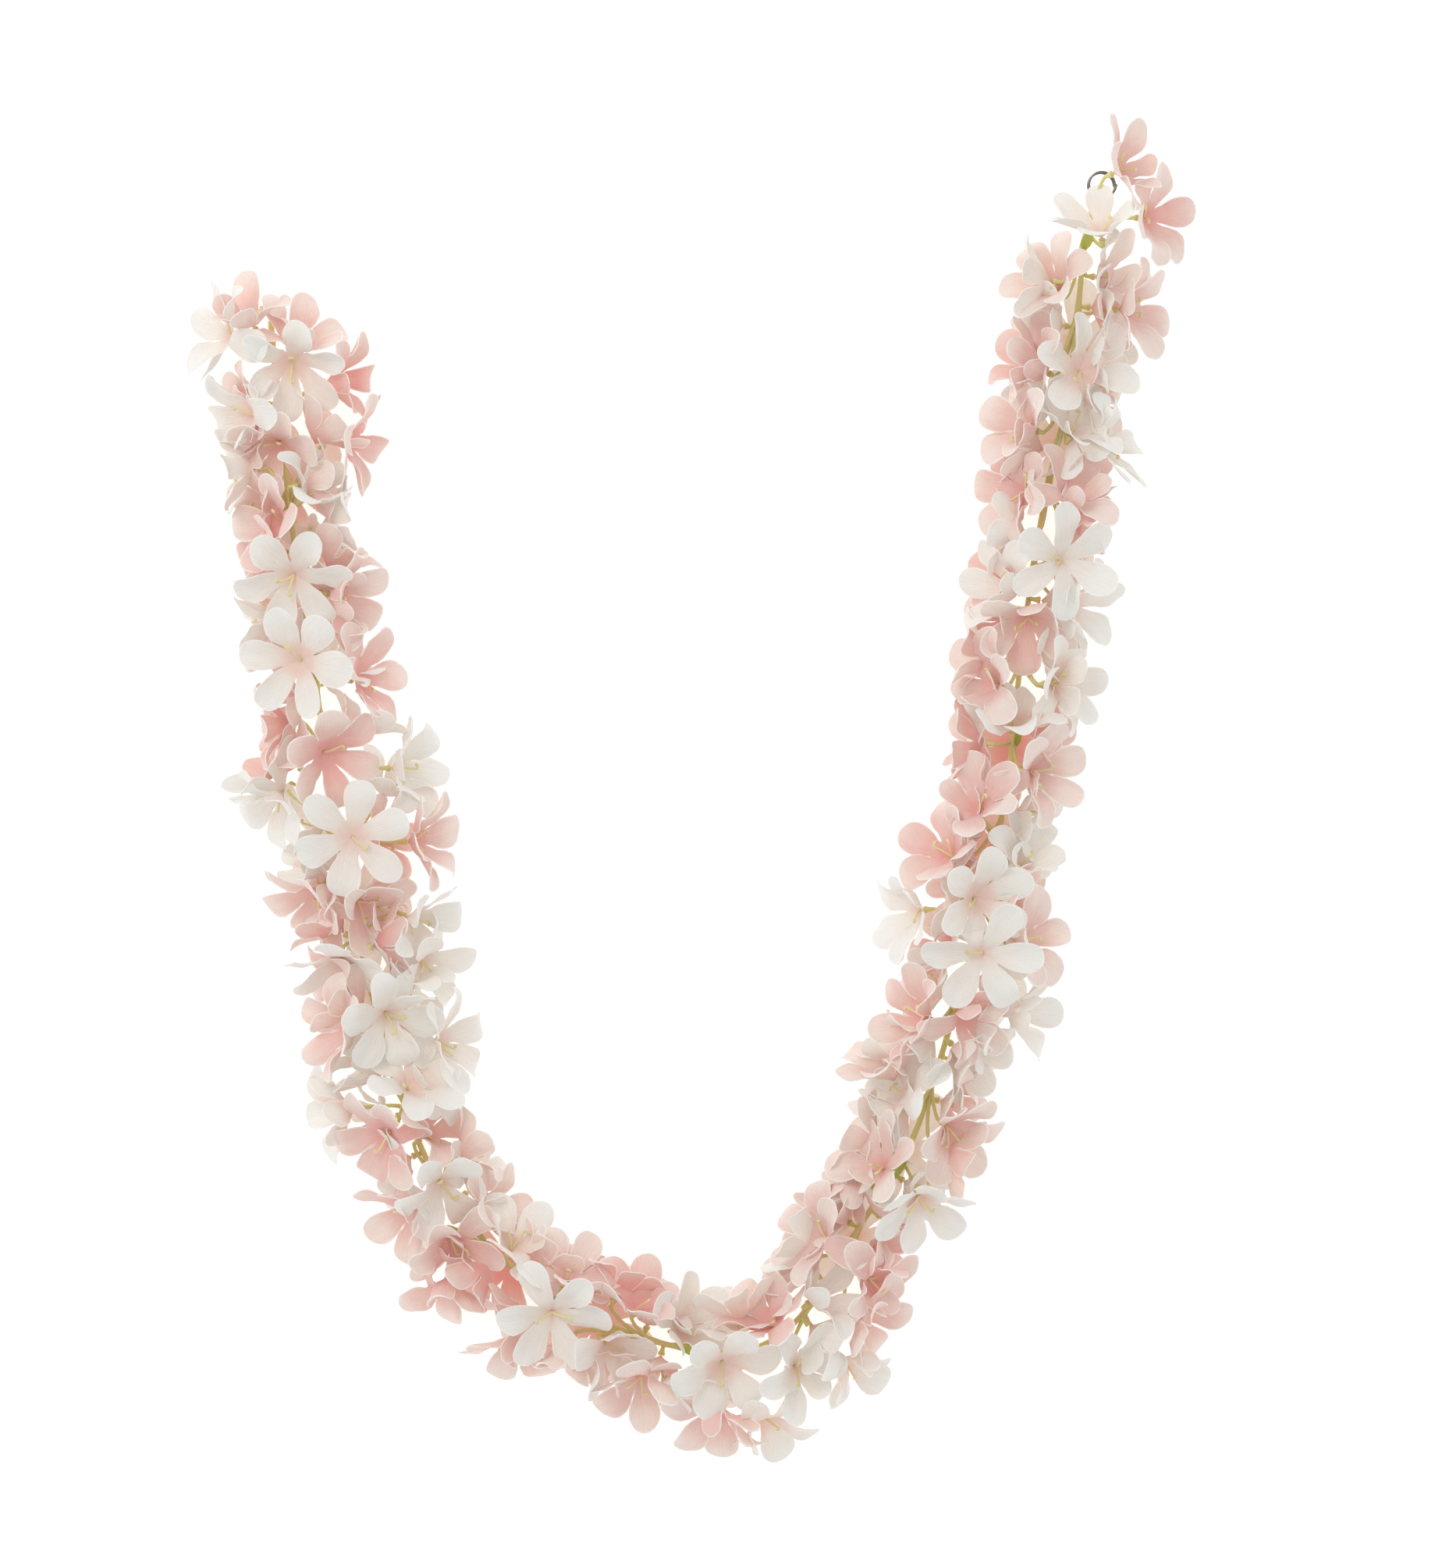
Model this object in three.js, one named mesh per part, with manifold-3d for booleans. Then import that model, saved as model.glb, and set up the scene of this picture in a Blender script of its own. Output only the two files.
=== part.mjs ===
// A garland lei of artificial blooms, laid out flat in an open U on a table.
// A moulded stem carries forks of thin stalks, each stalk ends in a calyx, and on each calyx sits
// a six-lobed fabric bloom, white or pink. A metal ring hangs in an eyelet at one end.
// Millimetres, +Z up. The origin is the middle of the whole outline, on the table.
import * as THREE from "three";
import { mergeVertices } from "three/addons/utils/BufferGeometryUtils.js";
import Module from "manifold-3d";

const wasm = await Module();
wasm.setup();

// --- Driving sizes ---------------------------------------------------------------------------
const MM_PER_PIXEL = 0.33; // the photograph's scale at the stem
const FRAME_MIDDLE = [924, 1004.5]; // pixels
const STEM_HEIGHT = 19; // of the stem's axis above the table
const STEM_RADIUS = 1.45;
const STEM_SIDES = 5;
const STEM_STEP = 24; // length of one straight run of the stem
const STEM_WAVE = 1.5; // how far the stem rises and dips
const STEM_WAVE_LENGTH = 60;
const FORK_FIRST = 5; // from the ring end to the first fork of stalks
const FORK_STEP = 37;
const FORK_SPREAD = 3.0; // the stalks of one fork leave the stem within this of its middle
const STALK_RUN = 13; // a stalk leaves the stem this far before its bloom
const STALK_LENGTH = 27;
const HUB_RISE = 1.35; // how much lower than one facing up a bloom that faces sideways sits
const STALK_RADIUS = 1.05;
const CALYX_LENGTH = 4;
const CALYX_RADIUS = 1.9;
const SEAT_GAP = 0.3; // between a calyx and the bloom on it

const RIM = 7; // from a bloom's middle to where its lobes part
const LOBE_ROWS = [10.5, 8.5]; // lengths of a lobe's two stretches past the rim
const LOBE_HALF_WIDTHS = [7, 3.8]; // at the lobe's widest place and at its tip
const SHEET = 0.6; // thickness of the lobes
const HUB_SHEET = 1.2; // and of the funnel that joins them
const LOBES = 6;
const SIXTH = 60; // degrees

// A lobe takes the first of these that leaves it clear: shorter, leaned in or out, curled.
const REACHES = [1, 0.86, 0.74];
const LEANS = [0, 9, -9, 18, -18, 27, -27, 38, -38, 50];
const CURLS = [0, 24, -24];
const LIFTS = [0, 3, -3, 6, -6, 9, -9, 12, 16]; // and a hub the first of these in height
const JOIN_SPAN = 52; // hubs nearer than this can be joined by a lobe
const JOIN_AIMS = [0.75, 1, 0.5]; // where the lobe meets the other's, from rim to widest place
const JOIN_OVERLAP = 3; // how far it runs past the meeting
const JOIN_REACH = 0.7; // the shortest that it is
const JOIN_SLANT = 0.3; // the least sine of the angle that they meet at
const STEEPEST = 74; // slope of a lobe's first stretch
const STEEPEST_TIP = 90;
const LOWEST_FUNNEL = 3;
const CLEARANCE = 0.3; // added all round a piece when two are tried for touching

const BLOOM_NODES = 58;
const FLAT_STEP = 176; // along the stem, from one pair of blooms under it to the next
const FLAT_FIRST = 55;
const FLAT_PAIR = 44; // between the two blooms of such a pair

const RING_MIDDLE = [1413, 236]; // pixels
const RING_RADIUS = 5.6;
const RING_WIRE = [0.55, 1.0]; // half width and half height of its two turns of wire
const EYELET_RADIUS = 2.3;
const EYELET_WIRE = 0.65;

const PINK = "#e6b8b4";
const WHITE = "#efebe5";
const GREEN = "#bfb55c";
const METAL = "#8d8a84";

// The stem from the ring end to the free end, in pixels.
const STEM_POINTS = [
  [1400, 268], [1390, 312], [1384, 380], [1370, 500], [1340, 640], [1320, 760], [1305, 880],
  [1297, 970], [1276, 1090], [1243, 1230], [1197, 1384], [1163, 1475], [1110, 1560],
  [1062, 1642], [1000, 1712], [930, 1736], [855, 1724], [770, 1696], [690, 1652], [615, 1586],
  [553, 1500], [512, 1400], [480, 1290], [452, 1170], [432, 1050], [413, 940], [398, 830],
  [381, 730], [368, 630], [360, 540], [350, 460], [345, 404],
];

// The blooms that show: hub in pixels, the way it faces (turn round from the right, tilt from
// straight up, degrees), where its first lobe points, and its colour.
const P = "pink";
const W = "white";
const BLOOMS = [
  [325, 417, 115, 58, 100, P], [300, 432, 165, 68, 130, W], [373, 446, 65, 60, 70, P],
  [375, 463, 270, 34, 205, W], [419, 488, 0, 66, 20, P], [328, 532, 185, 60, 160, W],
  [358, 565, 250, 44, 205, P], [440, 560, 340, 72, 340, P], [395, 636, 40, 56, 40, W],
  [365, 669, 180, 56, 190, P], [378, 736, 265, 30, 190, W], [424, 762, 345, 56, 40, P],
  [388, 846, 200, 22, 110, W], [454, 870, 15, 62, 45, P], [415, 963, 330, 40, 290, P],
  [362, 1013, 225, 66, 250, W], [502, 984, 0, 66, 30, W], [453, 1072, 270, 6, 79, W],
  [524, 1078, 5, 62, 10, P], [409, 1140, 235, 66, 240, P], [458, 1153, 310, 56, 330, P],
  [522, 1176, 330, 62, 350, W], [537, 1229, 325, 68, 320, W], [438, 1226, 262, 58, 232, W],
  [456, 1320, 172, 54, 160, P], [494, 1296, 310, 38, 350, W], [556, 1335, 0, 68, 10, W],
  [522, 1396, 50, 50, 20, W], [452, 1422, 190, 72, 190, W], [540, 1458, 40, 60, 60, P],
  [501, 1449, 225, 46, 255, P], [564, 1511, 300, 44, 285, W], [600, 1528, 30, 66, 30, W],
  [617, 1558, 12, 62, 10, P], [531, 1545, 215, 58, 200, P], [577, 1584, 285, 50, 300, P],
  [573, 1638, 262, 72, 265, P], [654, 1602, 60, 54, 55, W], [724, 1644, 62, 48, 100, P],
  [708, 1678, 275, 30, 285, W], [660, 1712, 258, 72, 255, P], [775, 1719, 320, 48, 300, W],
  [815, 1679, 62, 50, 70, P], [868, 1704, 20, 46, 350, W], [822, 1760, 268, 56, 225, P],
  [920, 1800, 265, 66, 240, P], [925, 1742, 290, 40, 258, W], [975, 1812, 290, 72, 280, W],
  [1018, 1750, 335, 38, 355, W], [990, 1702, 120, 56, 125, P], [1061, 1587, 162, 54, 170, P],
  [1039, 1667, 40, 56, 85, W], [1112, 1637, 325, 54, 310, P], [1098, 1689, 335, 64, 350, P],
  [1080, 1742, 315, 70, 320, W], [1176, 1530, 285, 50, 310, W], [1092, 1512, 255, 62, 250, P],
  [1133, 1497, 140, 44, 175, P], [1166, 1410, 140, 62, 140, W], [1146, 1384, 112, 70, 120, P],
  [1211, 1441, 322, 50, 350, P], [1222, 1340, 318, 54, 350, W], [1229, 1294, 330, 52, 340, P],
  [1190, 1306, 162, 56, 150, P], [1292, 1300, 350, 66, 10, W], [1258, 1220, 270, 10, 83, W],
  [1302, 1206, 10, 58, 10, P], [1182, 1166, 185, 62, 170, W], [1247, 1150, 345, 34, 20, W],
  [1223, 1100, 140, 54, 150, P], [1305, 1110, 50, 54, 80, W], [1254, 1041, 120, 44, 150, P],
  [1318, 988, 352, 50, 15, P], [1297, 935, 92, 52, 60, W], [1280, 876, 170, 54, 185, P],
  [1342, 876, 5, 50, 15, W], [1317, 789, 270, 34, 270, P], [1368, 776, 335, 62, 330, W],
  [1303, 758, 160, 56, 165, W], [1358, 718, 340, 20, 330, W], [1318, 630, 182, 54, 175, P],
  [1369, 643, 60, 46, 85, P], [1408, 573, 20, 62, 15, W], [1372, 556, 65, 56, 60, W],
  [1326, 552, 170, 50, 165, P], [1342, 476, 152, 54, 145, P], [1383, 476, 15, 28, 35, W],
  [1436, 396, 2, 62, 25, P], [1359, 371, 135, 50, 130, P], [1406, 354, 354, 58, 40, W],
  [1462, 278, 0, 58, 15, P], [1411, 304, 100, 58, 130, W], [1428, 222, 25, 62, 50, P],
];

// Small moulded leaves on the stem: root and tip in pixels, and how far the tip rises.
const LEAVES = [
  [1160, 1478, 1141, 1518, 9], [1390, 318, 1402, 286, 8], [590, 1556, 618, 1580, 9],
  [398, 826, 410, 862, 8], [1298, 960, 1310, 924, 8], [905, 1735, 868, 1727, 10],
];
const LEAF_ROWS = [[0, 0.5], [0.55, 1.9], [1, 0.4]]; // share of its length, half width

// --- Small helpers ---------------------------------------------------------------------------
const radians = THREE.MathUtils.degToRad;
const degrees = THREE.MathUtils.radToDeg;
const UP = new THREE.Vector3(0, 0, 1);

function fromPixels([x, y], z) {
  return new THREE.Vector3(
    (x - FRAME_MIDDLE[0]) * MM_PER_PIXEL,
    (FRAME_MIDDLE[1] - y) * MM_PER_PIXEL,
    z,
  );
}

// A seeded draw between -1 and 1 for one bloom and one of its traits.
function draw(seed, trait) {
  const wave = Math.sin(seed * 12.9898 + trait * 78.233) * 43758.5453;
  return 2 * (wave - Math.floor(wave)) - 1;
}

// The point at distances along two and three directions from a start.
function offset(start, ...steps) {
  const point = start.clone();
  for (let i = 0; i < steps.length; i += 2) point.addScaledVector(steps[i], steps[i + 1]);
  return point;
}

function solidOf(points, faces) {
  const vertProperties = new Float32Array(points.flatMap((p) => p.toArray()));
  const triVerts = new Uint32Array(faces.flat());
  return new wasm.Manifold(new wasm.Mesh({ numProp: 3, vertProperties, triVerts }));
}

function solidFromGeometry(geometry) {
  geometry.deleteAttribute("normal");
  geometry.deleteAttribute("uv");
  const merged = mergeVertices(geometry, 1e-4);
  return new wasm.Manifold(
    new wasm.Mesh({
      numProp: 3,
      vertProperties: merged.attributes.position.array,
      triVerts: new Uint32Array(merged.index.array),
    }),
  );
}

// --- The stem's line -------------------------------------------------------------------------
// A uniform Catmull-Rom curve through the points, cut into short runs of known length.
const RUNS_PER_SPAN = 8;

function stemLine() {
  const knots = STEM_POINTS.map((pixel) => fromPixels(pixel, 0));
  const curve = new THREE.CatmullRomCurve3(knots, false, "catmullrom", 0.5);
  const points = curve.getPoints((knots.length - 1) * RUNS_PER_SPAN);
  const along = [0];
  points.forEach((p, i) => {
    if (i > 0) along.push(along[i - 1] + p.distanceTo(points[i - 1]));
  });
  points.forEach((p, i) => {
    p.z = STEM_HEIGHT + STEM_WAVE * Math.sin(along[i] / STEM_WAVE_LENGTH);
  });
  return { points, along, length: along[along.length - 1] };
}

const stem = stemLine();

function stemAt(distance) {
  const s = THREE.MathUtils.clamp(distance, 0, stem.length);
  const i = Math.max(1, stem.along.findIndex((a) => a >= s));
  const share = (s - stem.along[i - 1]) / (stem.along[i] - stem.along[i - 1]);
  return stem.points[i - 1].clone().lerp(stem.points[i], share);
}

// How far along the stem its line passes nearest to a point, seen from above.
function nearestOnStem(point) {
  const gaps = stem.points.map((p) => Math.hypot(p.x - point.x, p.y - point.y));
  return stem.along[gaps.indexOf(Math.min(...gaps))];
}

// --- Blooms ----------------------------------------------------------------------------------
const forks = Math.floor((stem.length - FORK_FIRST) / FORK_STEP) + 1;

// Where a bloom's stalk leaves the stem: by the fork that lies a little before the bloom.
function stalkRoot(hub, index) {
  const k = Math.round((nearestOnStem(hub) - STALK_RUN - FORK_FIRST) / FORK_STEP);
  const fork = FORK_FIRST + THREE.MathUtils.clamp(k, 0, forks - 1) * FORK_STEP;
  return stemAt(fork + FORK_SPREAD * draw(index, 3));
}

// A bloom's own directions: its axis, and two across it that lobe angles are counted from.
function facing(turn, tilt, roll) {
  const level = new THREE.Vector3(Math.cos(radians(turn)), Math.sin(radians(turn)), 0);
  const axis = offset(new THREE.Vector3(), level, Math.sin(radians(tilt)), UP, Math.cos(radians(tilt)));
  const first = new THREE.Vector3(Math.cos(radians(roll)), Math.sin(radians(roll)), 0);
  return { axis, across: first.addScaledVector(axis, -first.dot(axis)).normalize() };
}

function shownBloom([x, y, turn, tilt, roll, tone], index) {
  const below = fromPixels([x, y], 0);
  const root = stalkRoot(below, index);
  const level = Math.hypot(below.x - root.x, below.y - root.y);
  const climb = Math.sqrt(Math.max(STALK_LENGTH ** 2 - level ** 2, 30));
  const share = HUB_RISE * Math.cos(radians(tilt)) + 1 - HUB_RISE;
  below.z = STEM_HEIGHT + climb * share + 2 * draw(index, 1);
  return {
    index, tone, root, hub: below, flat: false, tilt, spin: 0, lobes: Array(LOBES).fill(null),
    cup: THREE.MathUtils.lerp(12, 34, Math.min(tilt / 50, 1)) + 5 * draw(index, 2),
    ...facing(turn, tilt, roll),
  };
}

// A bloom pressed flat on the table under the stem, face down.
function flatBloom(distance, index, tone, roll) {
  const hub = stemAt(distance).setZ(SHEET / 2);
  return {
    index, tone, root: stalkRoot(hub, index), hub, flat: true, tilt: 180, spin: 0,
    lobes: Array(LOBES).fill(null), cup: 0, ...facing(0, 180, roll),
  };
}

function flatPairs(firstIndex) {
  const pairs = [];
  for (let s = FLAT_FIRST; s + FLAT_PAIR < stem.length; s += FLAT_STEP) {
    const ends = [s, s + FLAT_PAIR];
    const run = stemAt(ends[1]).sub(stemAt(ends[0]));
    const roll = degrees(Math.atan2(run.y, run.x));
    const tone = pairs.length % 2 ? P : W;
    const index = firstIndex + 2 * pairs.length;
    pairs.push(ends.map((end, i) => flatBloom(end, index + i, tone, roll + 180 * i)));
  }
  return pairs;
}

function lobeDirection(bloom, side) {
  const angle = radians(bloom.spin + SIXTH * side);
  const third = bloom.axis.clone().cross(bloom.across);
  return offset(new THREE.Vector3(), bloom.across, Math.cos(angle), third, Math.sin(angle));
}

// The corner of the funnel's rim before a side's lobe.
function rimCorner(bloom, side, grow = 0) {
  const out = lobeDirection(bloom, side - 0.5);
  const level = (RIM * Math.cos(radians(bloom.cup)) + grow) / Math.cos(radians(SIXTH / 2));
  return offset(bloom.hub, out, level, bloom.axis, RIM * Math.sin(radians(bloom.cup)));
}

// A lobe as three rows of four corners: front and back, left and right, from rim to tip.
function lobeRows(bloom, side, lobe, grow = 0) {
  const out = lobeDirection(bloom, side);
  const wide = bloom.axis.clone().cross(out);
  const slopes = [bloom.cup + lobe.lean, bloom.cup + lobe.lean + lobe.curl].map(radians);
  const runs = slopes.map((s) =>
    offset(new THREE.Vector3(), out, Math.cos(s), bloom.axis, Math.sin(s)),
  );
  const faces = runs.map((run) => run.clone().cross(wide));
  const bend = faces[0].clone().add(faces[1]).normalize();
  const half = SHEET / 2 + grow;
  const rows = [
    [rimCorner(bloom, side), rimCorner(bloom, side + 1)].flatMap((corner) => [
      offset(corner, bloom.axis, half),
      offset(corner, bloom.axis, SHEET / 2 - HUB_SHEET - grow),
    ]),
  ];
  let middle = offset(
    bloom.hub, out, RIM * Math.cos(radians(bloom.cup)), bloom.axis, RIM * Math.sin(radians(bloom.cup)),
  );
  runs.forEach((run, i) => {
    const last = i === runs.length - 1;
    middle = offset(middle, run, LOBE_ROWS[i] * lobe.reach + (last ? grow : 0));
    const face = last ? faces[i] : bend;
    const thick = last ? half : half / bend.dot(faces[0]);
    const width = LOBE_HALF_WIDTHS[i] * lobe.reach + grow;
    rows.push(
      [-width, width].flatMap((w) => [
        offset(middle, wide, w, face, thick),
        offset(middle, wide, w, face, -thick),
      ]),
    );
  });
  return rows;
}

// --- Trying two pieces for touching ----------------------------------------------------------
// A piece is tried as a closed prism through its rows of corners, a little larger all round.
function prism(rows, order) {
  const points = rows.flat();
  const n = order.length;
  const faces = [];
  for (let r = 0; r + 1 < rows.length; r++)
    for (let k = 0; k < n; k++) {
      const a = r * n + order[k];
      const b = r * n + order[(k + 1) % n];
      faces.push([a, b, b + n], [a, b + n, a + n]);
    }
  const lastRow = (rows.length - 1) * n;
  for (let k = 1; k + 1 < n; k++) {
    faces.push([order[0], order[k + 1], order[k]]);
    faces.push([lastRow + order[0], lastRow + order[k], lastRow + order[k + 1]]);
  }
  const box = new THREE.Box3().setFromPoints(points);
  const edges = [];
  for (const [a, b, c] of faces) {
    if (a < b) edges.push([a, b]);
    if (b < c) edges.push([b, c]);
    if (c < a) edges.push([c, a]);
  }
  return { points, faces, edges, box };
}

const LOBE_ORDER = [0, 2, 3, 1];

function lobePrism(bloom, side, lobe) {
  const rows = lobeRows(bloom, side, lobe, CLEARANCE);
  // The first row stands a little out from the rim, so that a lobe clears its neighbours' roots.
  rows[0] = rows[0].map((corner, i) => {
    const middle = rows[0][i % 2].clone().add(rows[0][2 + (i % 2)]).multiplyScalar(0.5);
    return corner.clone().lerp(middle, 0.12).lerp(rows[1][i], 0.06);
  });
  return { ...prism(rows, LOBE_ORDER), bloom, side };
}

const FUNNEL = -1;

function funnelPrism(bloom) {
  const rim = [...Array(LOBES).keys()].map((side) => rimCorner(bloom, side, CLEARANCE));
  const front = rim.map((corner) => offset(corner, bloom.axis, SHEET / 2 + CLEARANCE));
  const back = rim.map((corner) => offset(corner, bloom.axis, SHEET / 2 - HUB_SHEET - CLEARANCE));
  const foot = rim.map(() => offset(bloom.hub, bloom.axis, SHEET / 2 - HUB_SHEET - CLEARANCE));
  const top = rim.map(() => offset(bloom.hub, bloom.axis, SHEET / 2 + CLEARANCE));
  return { ...prism([foot, back, front, top], [0, 1, 2, 3, 4, 5]), bloom, side: FUNNEL };
}

const edgeRay = new THREE.Ray();
const hit = new THREE.Vector3();

function crosses(a, b) {
  return a.edges.some(([from, to]) => {
    const start = a.points[from];
    const length = start.distanceTo(a.points[to]);
    if (length < 1e-6) return false;
    edgeRay.origin.copy(start);
    edgeRay.direction.copy(a.points[to]).sub(start).divideScalar(length);
    return b.faces.some(
      ([i, j, k]) =>
        edgeRay.intersectTriangle(b.points[i], b.points[j], b.points[k], false, hit) &&
        hit.distanceTo(start) <= length,
    );
  });
}

function touch(a, b) {
  return a.box.intersectsBox(b.box) && (crosses(a, b) || crosses(b, a));
}

// --- Tubes: stem, stalks, leaves -------------------------------------------------------------
// Rings of corners round a line of points, each with its own radius.
function tubeRings(points, radii, sides) {
  const along = points.map((p, i) =>
    points[Math.min(i + 1, points.length - 1)].clone().sub(points[Math.max(i - 1, 0)]).normalize(),
  );
  let side = new THREE.Vector3(0.31, 0.17, 1).cross(along[0]).normalize();
  return points.map((p, i) => {
    side = offset(side, along[i], -side.dot(along[i])).normalize();
    const third = along[i].clone().cross(side);
    return [...Array(sides).keys()].map((k) => {
      const angle = (2 * Math.PI * k) / sides;
      return offset(p, side, radii[i] * Math.cos(angle), third, radii[i] * Math.sin(angle));
    });
  });
}

function stalkLine(bloom) {
  const top = offset(bloom.hub, bloom.axis, SHEET / 2 - HUB_SHEET - SEAT_GAP);
  return [bloom.root, offset(top, bloom.axis, -CALYX_LENGTH), top];
}

const STALK_RADII = [STALK_RADIUS, STALK_RADIUS, CALYX_RADIUS];
const STALK_ORDER = [0, 1, 2];

function stalkPrisms(bloom) {
  const grown = STALK_RADII.map((r) => r + CLEARANCE);
  const rings = tubeRings(stalkLine(bloom), grown, STALK_ORDER.length);
  return rings.slice(1).map((ring, i) => ({
    ...prism([rings[i], ring], STALK_ORDER), bloom, stalk: true, last: i === 1,
  }));
}

// A small lance-shaped leaf as rings of four corners, its root in the stem.
function leafRings([x, y, tipX, tipY, rise], grow = 0) {
  const root = stemAt(nearestOnStem(fromPixels([x, y], 0)));
  const tip = fromPixels([tipX, tipY], root.z + rise);
  const wide = tip.clone().sub(root).cross(UP).normalize();
  const face = wide.clone().cross(tip.clone().sub(root)).normalize();
  const thick = SHEET / 2 + 0.05 + grow;
  return LEAF_ROWS.map(([share, width]) => {
    const p = root.clone().lerp(tip, share);
    const half = width + grow;
    return [
      offset(p, wide, half, face, thick), offset(p, wide, half, face, -thick),
      offset(p, wide, -half, face, -thick), offset(p, wide, -half, face, thick),
    ];
  });
}

function stemPoints() {
  const runs = Math.round(stem.length / STEM_STEP);
  return [...Array(runs + 1).keys()].map((i) => stemAt((stem.length * i) / runs));
}

function stemPrisms() {
  const points = stemPoints();
  const rings = tubeRings(points, points.map(() => STEM_RADIUS + CLEARANCE), 4);
  return rings.slice(1).map((ring, i) => prism([rings[i], ring], [0, 1, 2, 3]));
}

// --- The ring at the end ---------------------------------------------------------------------
const ringMiddle = fromPixels(RING_MIDDLE, STEM_HEIGHT);
const toStem = stem.points[0].clone().sub(ringMiddle).setZ(0).normalize();
const eyeletMiddle = offset(ringMiddle, toStem, RING_RADIUS);

function ringSolid() {
  const [wide, high] = RING_WIRE;
  const profile = [
    [wide, -high / 2], [wide, high / 2], [wide / 2, high], [-wide / 2, high],
    [-wide, high / 2], [-wide, -high / 2], [-wide / 2, -high], [wide / 2, -high], [wide, -high / 2],
  ].map(([x, y]) => new THREE.Vector2(RING_RADIUS + x, y));
  const geometry = new THREE.LatheGeometry(profile, 16);
  geometry.rotateX(Math.PI / 2);
  geometry.translate(ringMiddle.x, ringMiddle.y, ringMiddle.z);
  return solidFromGeometry(geometry);
}

function eyeletSolid() {
  const geometry = new THREE.TorusGeometry(EYELET_RADIUS, EYELET_WIRE, 5, 12);
  geometry.applyMatrix4(new THREE.Matrix4().makeBasis(toStem, UP, toStem.clone().cross(UP)));
  geometry.translate(eyeletMiddle.x, eyeletMiddle.y, eyeletMiddle.z);
  return solidFromGeometry(geometry);
}

// What lobes must keep off: the ring, its eyelet and the space inside it, as one flat block.
function ringPrism() {
  const reach = RING_RADIUS + RING_WIRE[0] + CLEARANCE;
  const high = EYELET_WIRE + RING_WIRE[1] + CLEARANCE;
  const rows = [-high, high].map((z) =>
    [...Array(8).keys()].map((k) => {
      const angle = (Math.PI * k) / 4;
      return offset(
        ringMiddle, new THREE.Vector3(1, 0, 0), reach * Math.cos(angle),
        new THREE.Vector3(0, 1, 0), reach * Math.sin(angle), UP, z,
      );
    }),
  );
  return { ...prism(rows, [0, 1, 2, 3, 4, 5, 6, 7]), ring: true };
}

function eyeletPrism() {
  const reach = EYELET_RADIUS + EYELET_WIRE + CLEARANCE;
  const middle = offset(eyeletMiddle, toStem, 0.5);
  const rings = tubeRings(
    [offset(middle, UP, -reach), offset(middle, UP, reach)], [reach, reach], 6,
  );
  return { ...prism(rings, [0, 1, 2, 3, 4, 5]), ring: true };
}

// --- Setting the blooms out ------------------------------------------------------------------
const flats = flatPairs(BLOOMS.length);
const shown = BLOOMS.map(shownBloom);
const leaves = LEAVES.map((leaf) => prism(leafRings(leaf, CLEARANCE), [0, 1, 2, 3]));
const fixed = [...stemPrisms(), ...leaves, ringPrism(), eyeletPrism()];
const obstacles = [...fixed];

// Lifts or lowers a bloom until its funnel and its stalk are clear of what is there already.
function placeHub(bloom) {
  const height = bloom.hub.z;
  for (const lift of bloom.flat ? [0] : LIFTS) {
    bloom.hub.z = height + lift;
    const funnel = funnelPrism(bloom);
    const stalk = stalkPrisms(bloom);
    const free =
      (bloom.flat || funnel.box.min.z > LOWEST_FUNNEL) &&
      !obstacles.some((o) => (o.ring || o.side === FUNNEL) && stalk.some((s) => touch(s, o))) &&
      !obstacles.some((o) => touch(funnel, o));
    if (free) {
      obstacles.push(funnel, ...stalk);
      return true;
    }
  }
  bloom.hub.z = height;
  return false;
}

// The pressed blooms come first, then those that face up, then those that face sideways.
const placed = [...flats.flat(), ...shown.sort((a, b) => a.tilt - b.tilt)];
for (const bloom of placed)
  if (!placeHub(bloom)) throw new Error("no room for the hub of bloom " + bloom.index);

// Whether a lobe stays over the table, in its own sixth of the bloom, and clear of the rest.
function lobeClear(bloom, side, lobe, partner = null) {
  const slope = bloom.cup + lobe.lean;
  if (Math.abs(slope) > STEEPEST || Math.abs(slope + lobe.curl) > STEEPEST_TIP) return false;
  const rows = lobeRows(bloom, side, lobe);
  if (rows.flat().some((p) => p.z < (bloom.flat ? -1e-6 : CLEARANCE))) return false;
  const out = lobeDirection(bloom, side);
  const wide = bloom.axis.clone().cross(out);
  const inside = rows.slice(1).flat().every((p) => {
    const from = p.clone().sub(bloom.hub);
    return Math.abs(from.dot(wide)) < from.dot(out) * Math.tan(radians(SIXTH / 2)) - CLEARANCE / 2;
  });
  if (!inside) return false;
  const body = lobePrism(bloom, side, lobe);
  return !obstacles.some(
    (o) =>
      !(o.bloom === bloom && !o.stalk) &&
      !(o.bloom === bloom && o.last) &&
      !(partner && o.bloom === partner.bloom && o.side === partner.side) &&
      touch(body, o),
  );
}

function keepLobe(bloom, side, lobe) {
  bloom.lobes[side] = lobe;
  obstacles.push(lobePrism(bloom, side, lobe));
}

// The lobe that leads from a bloom through a point; the bloom is spun to point there.
function aimLobe(bloom, target) {
  const way = target.clone().sub(bloom.hub);
  const third = bloom.axis.clone().cross(bloom.across);
  bloom.spin = degrees(Math.atan2(way.dot(third), way.dot(bloom.across)));
  const out = lobeDirection(bloom, 0);
  const cup = radians(bloom.cup);
  const base = offset(bloom.hub, out, RIM * Math.cos(cup), bloom.axis, RIM * Math.sin(cup));
  const run = target.clone().sub(base);
  const slope = degrees(Math.atan2(run.dot(bloom.axis), run.dot(out)));
  const longest = LOBE_ROWS[0] + LOBE_ROWS[1];
  const reach = Math.max(JOIN_REACH, (run.length() + JOIN_OVERLAP) / longest);
  return run.dot(out) > 1 && reach <= 1 ? { lean: slope - bloom.cup, curl: 0, reach } : null;
}

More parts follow.
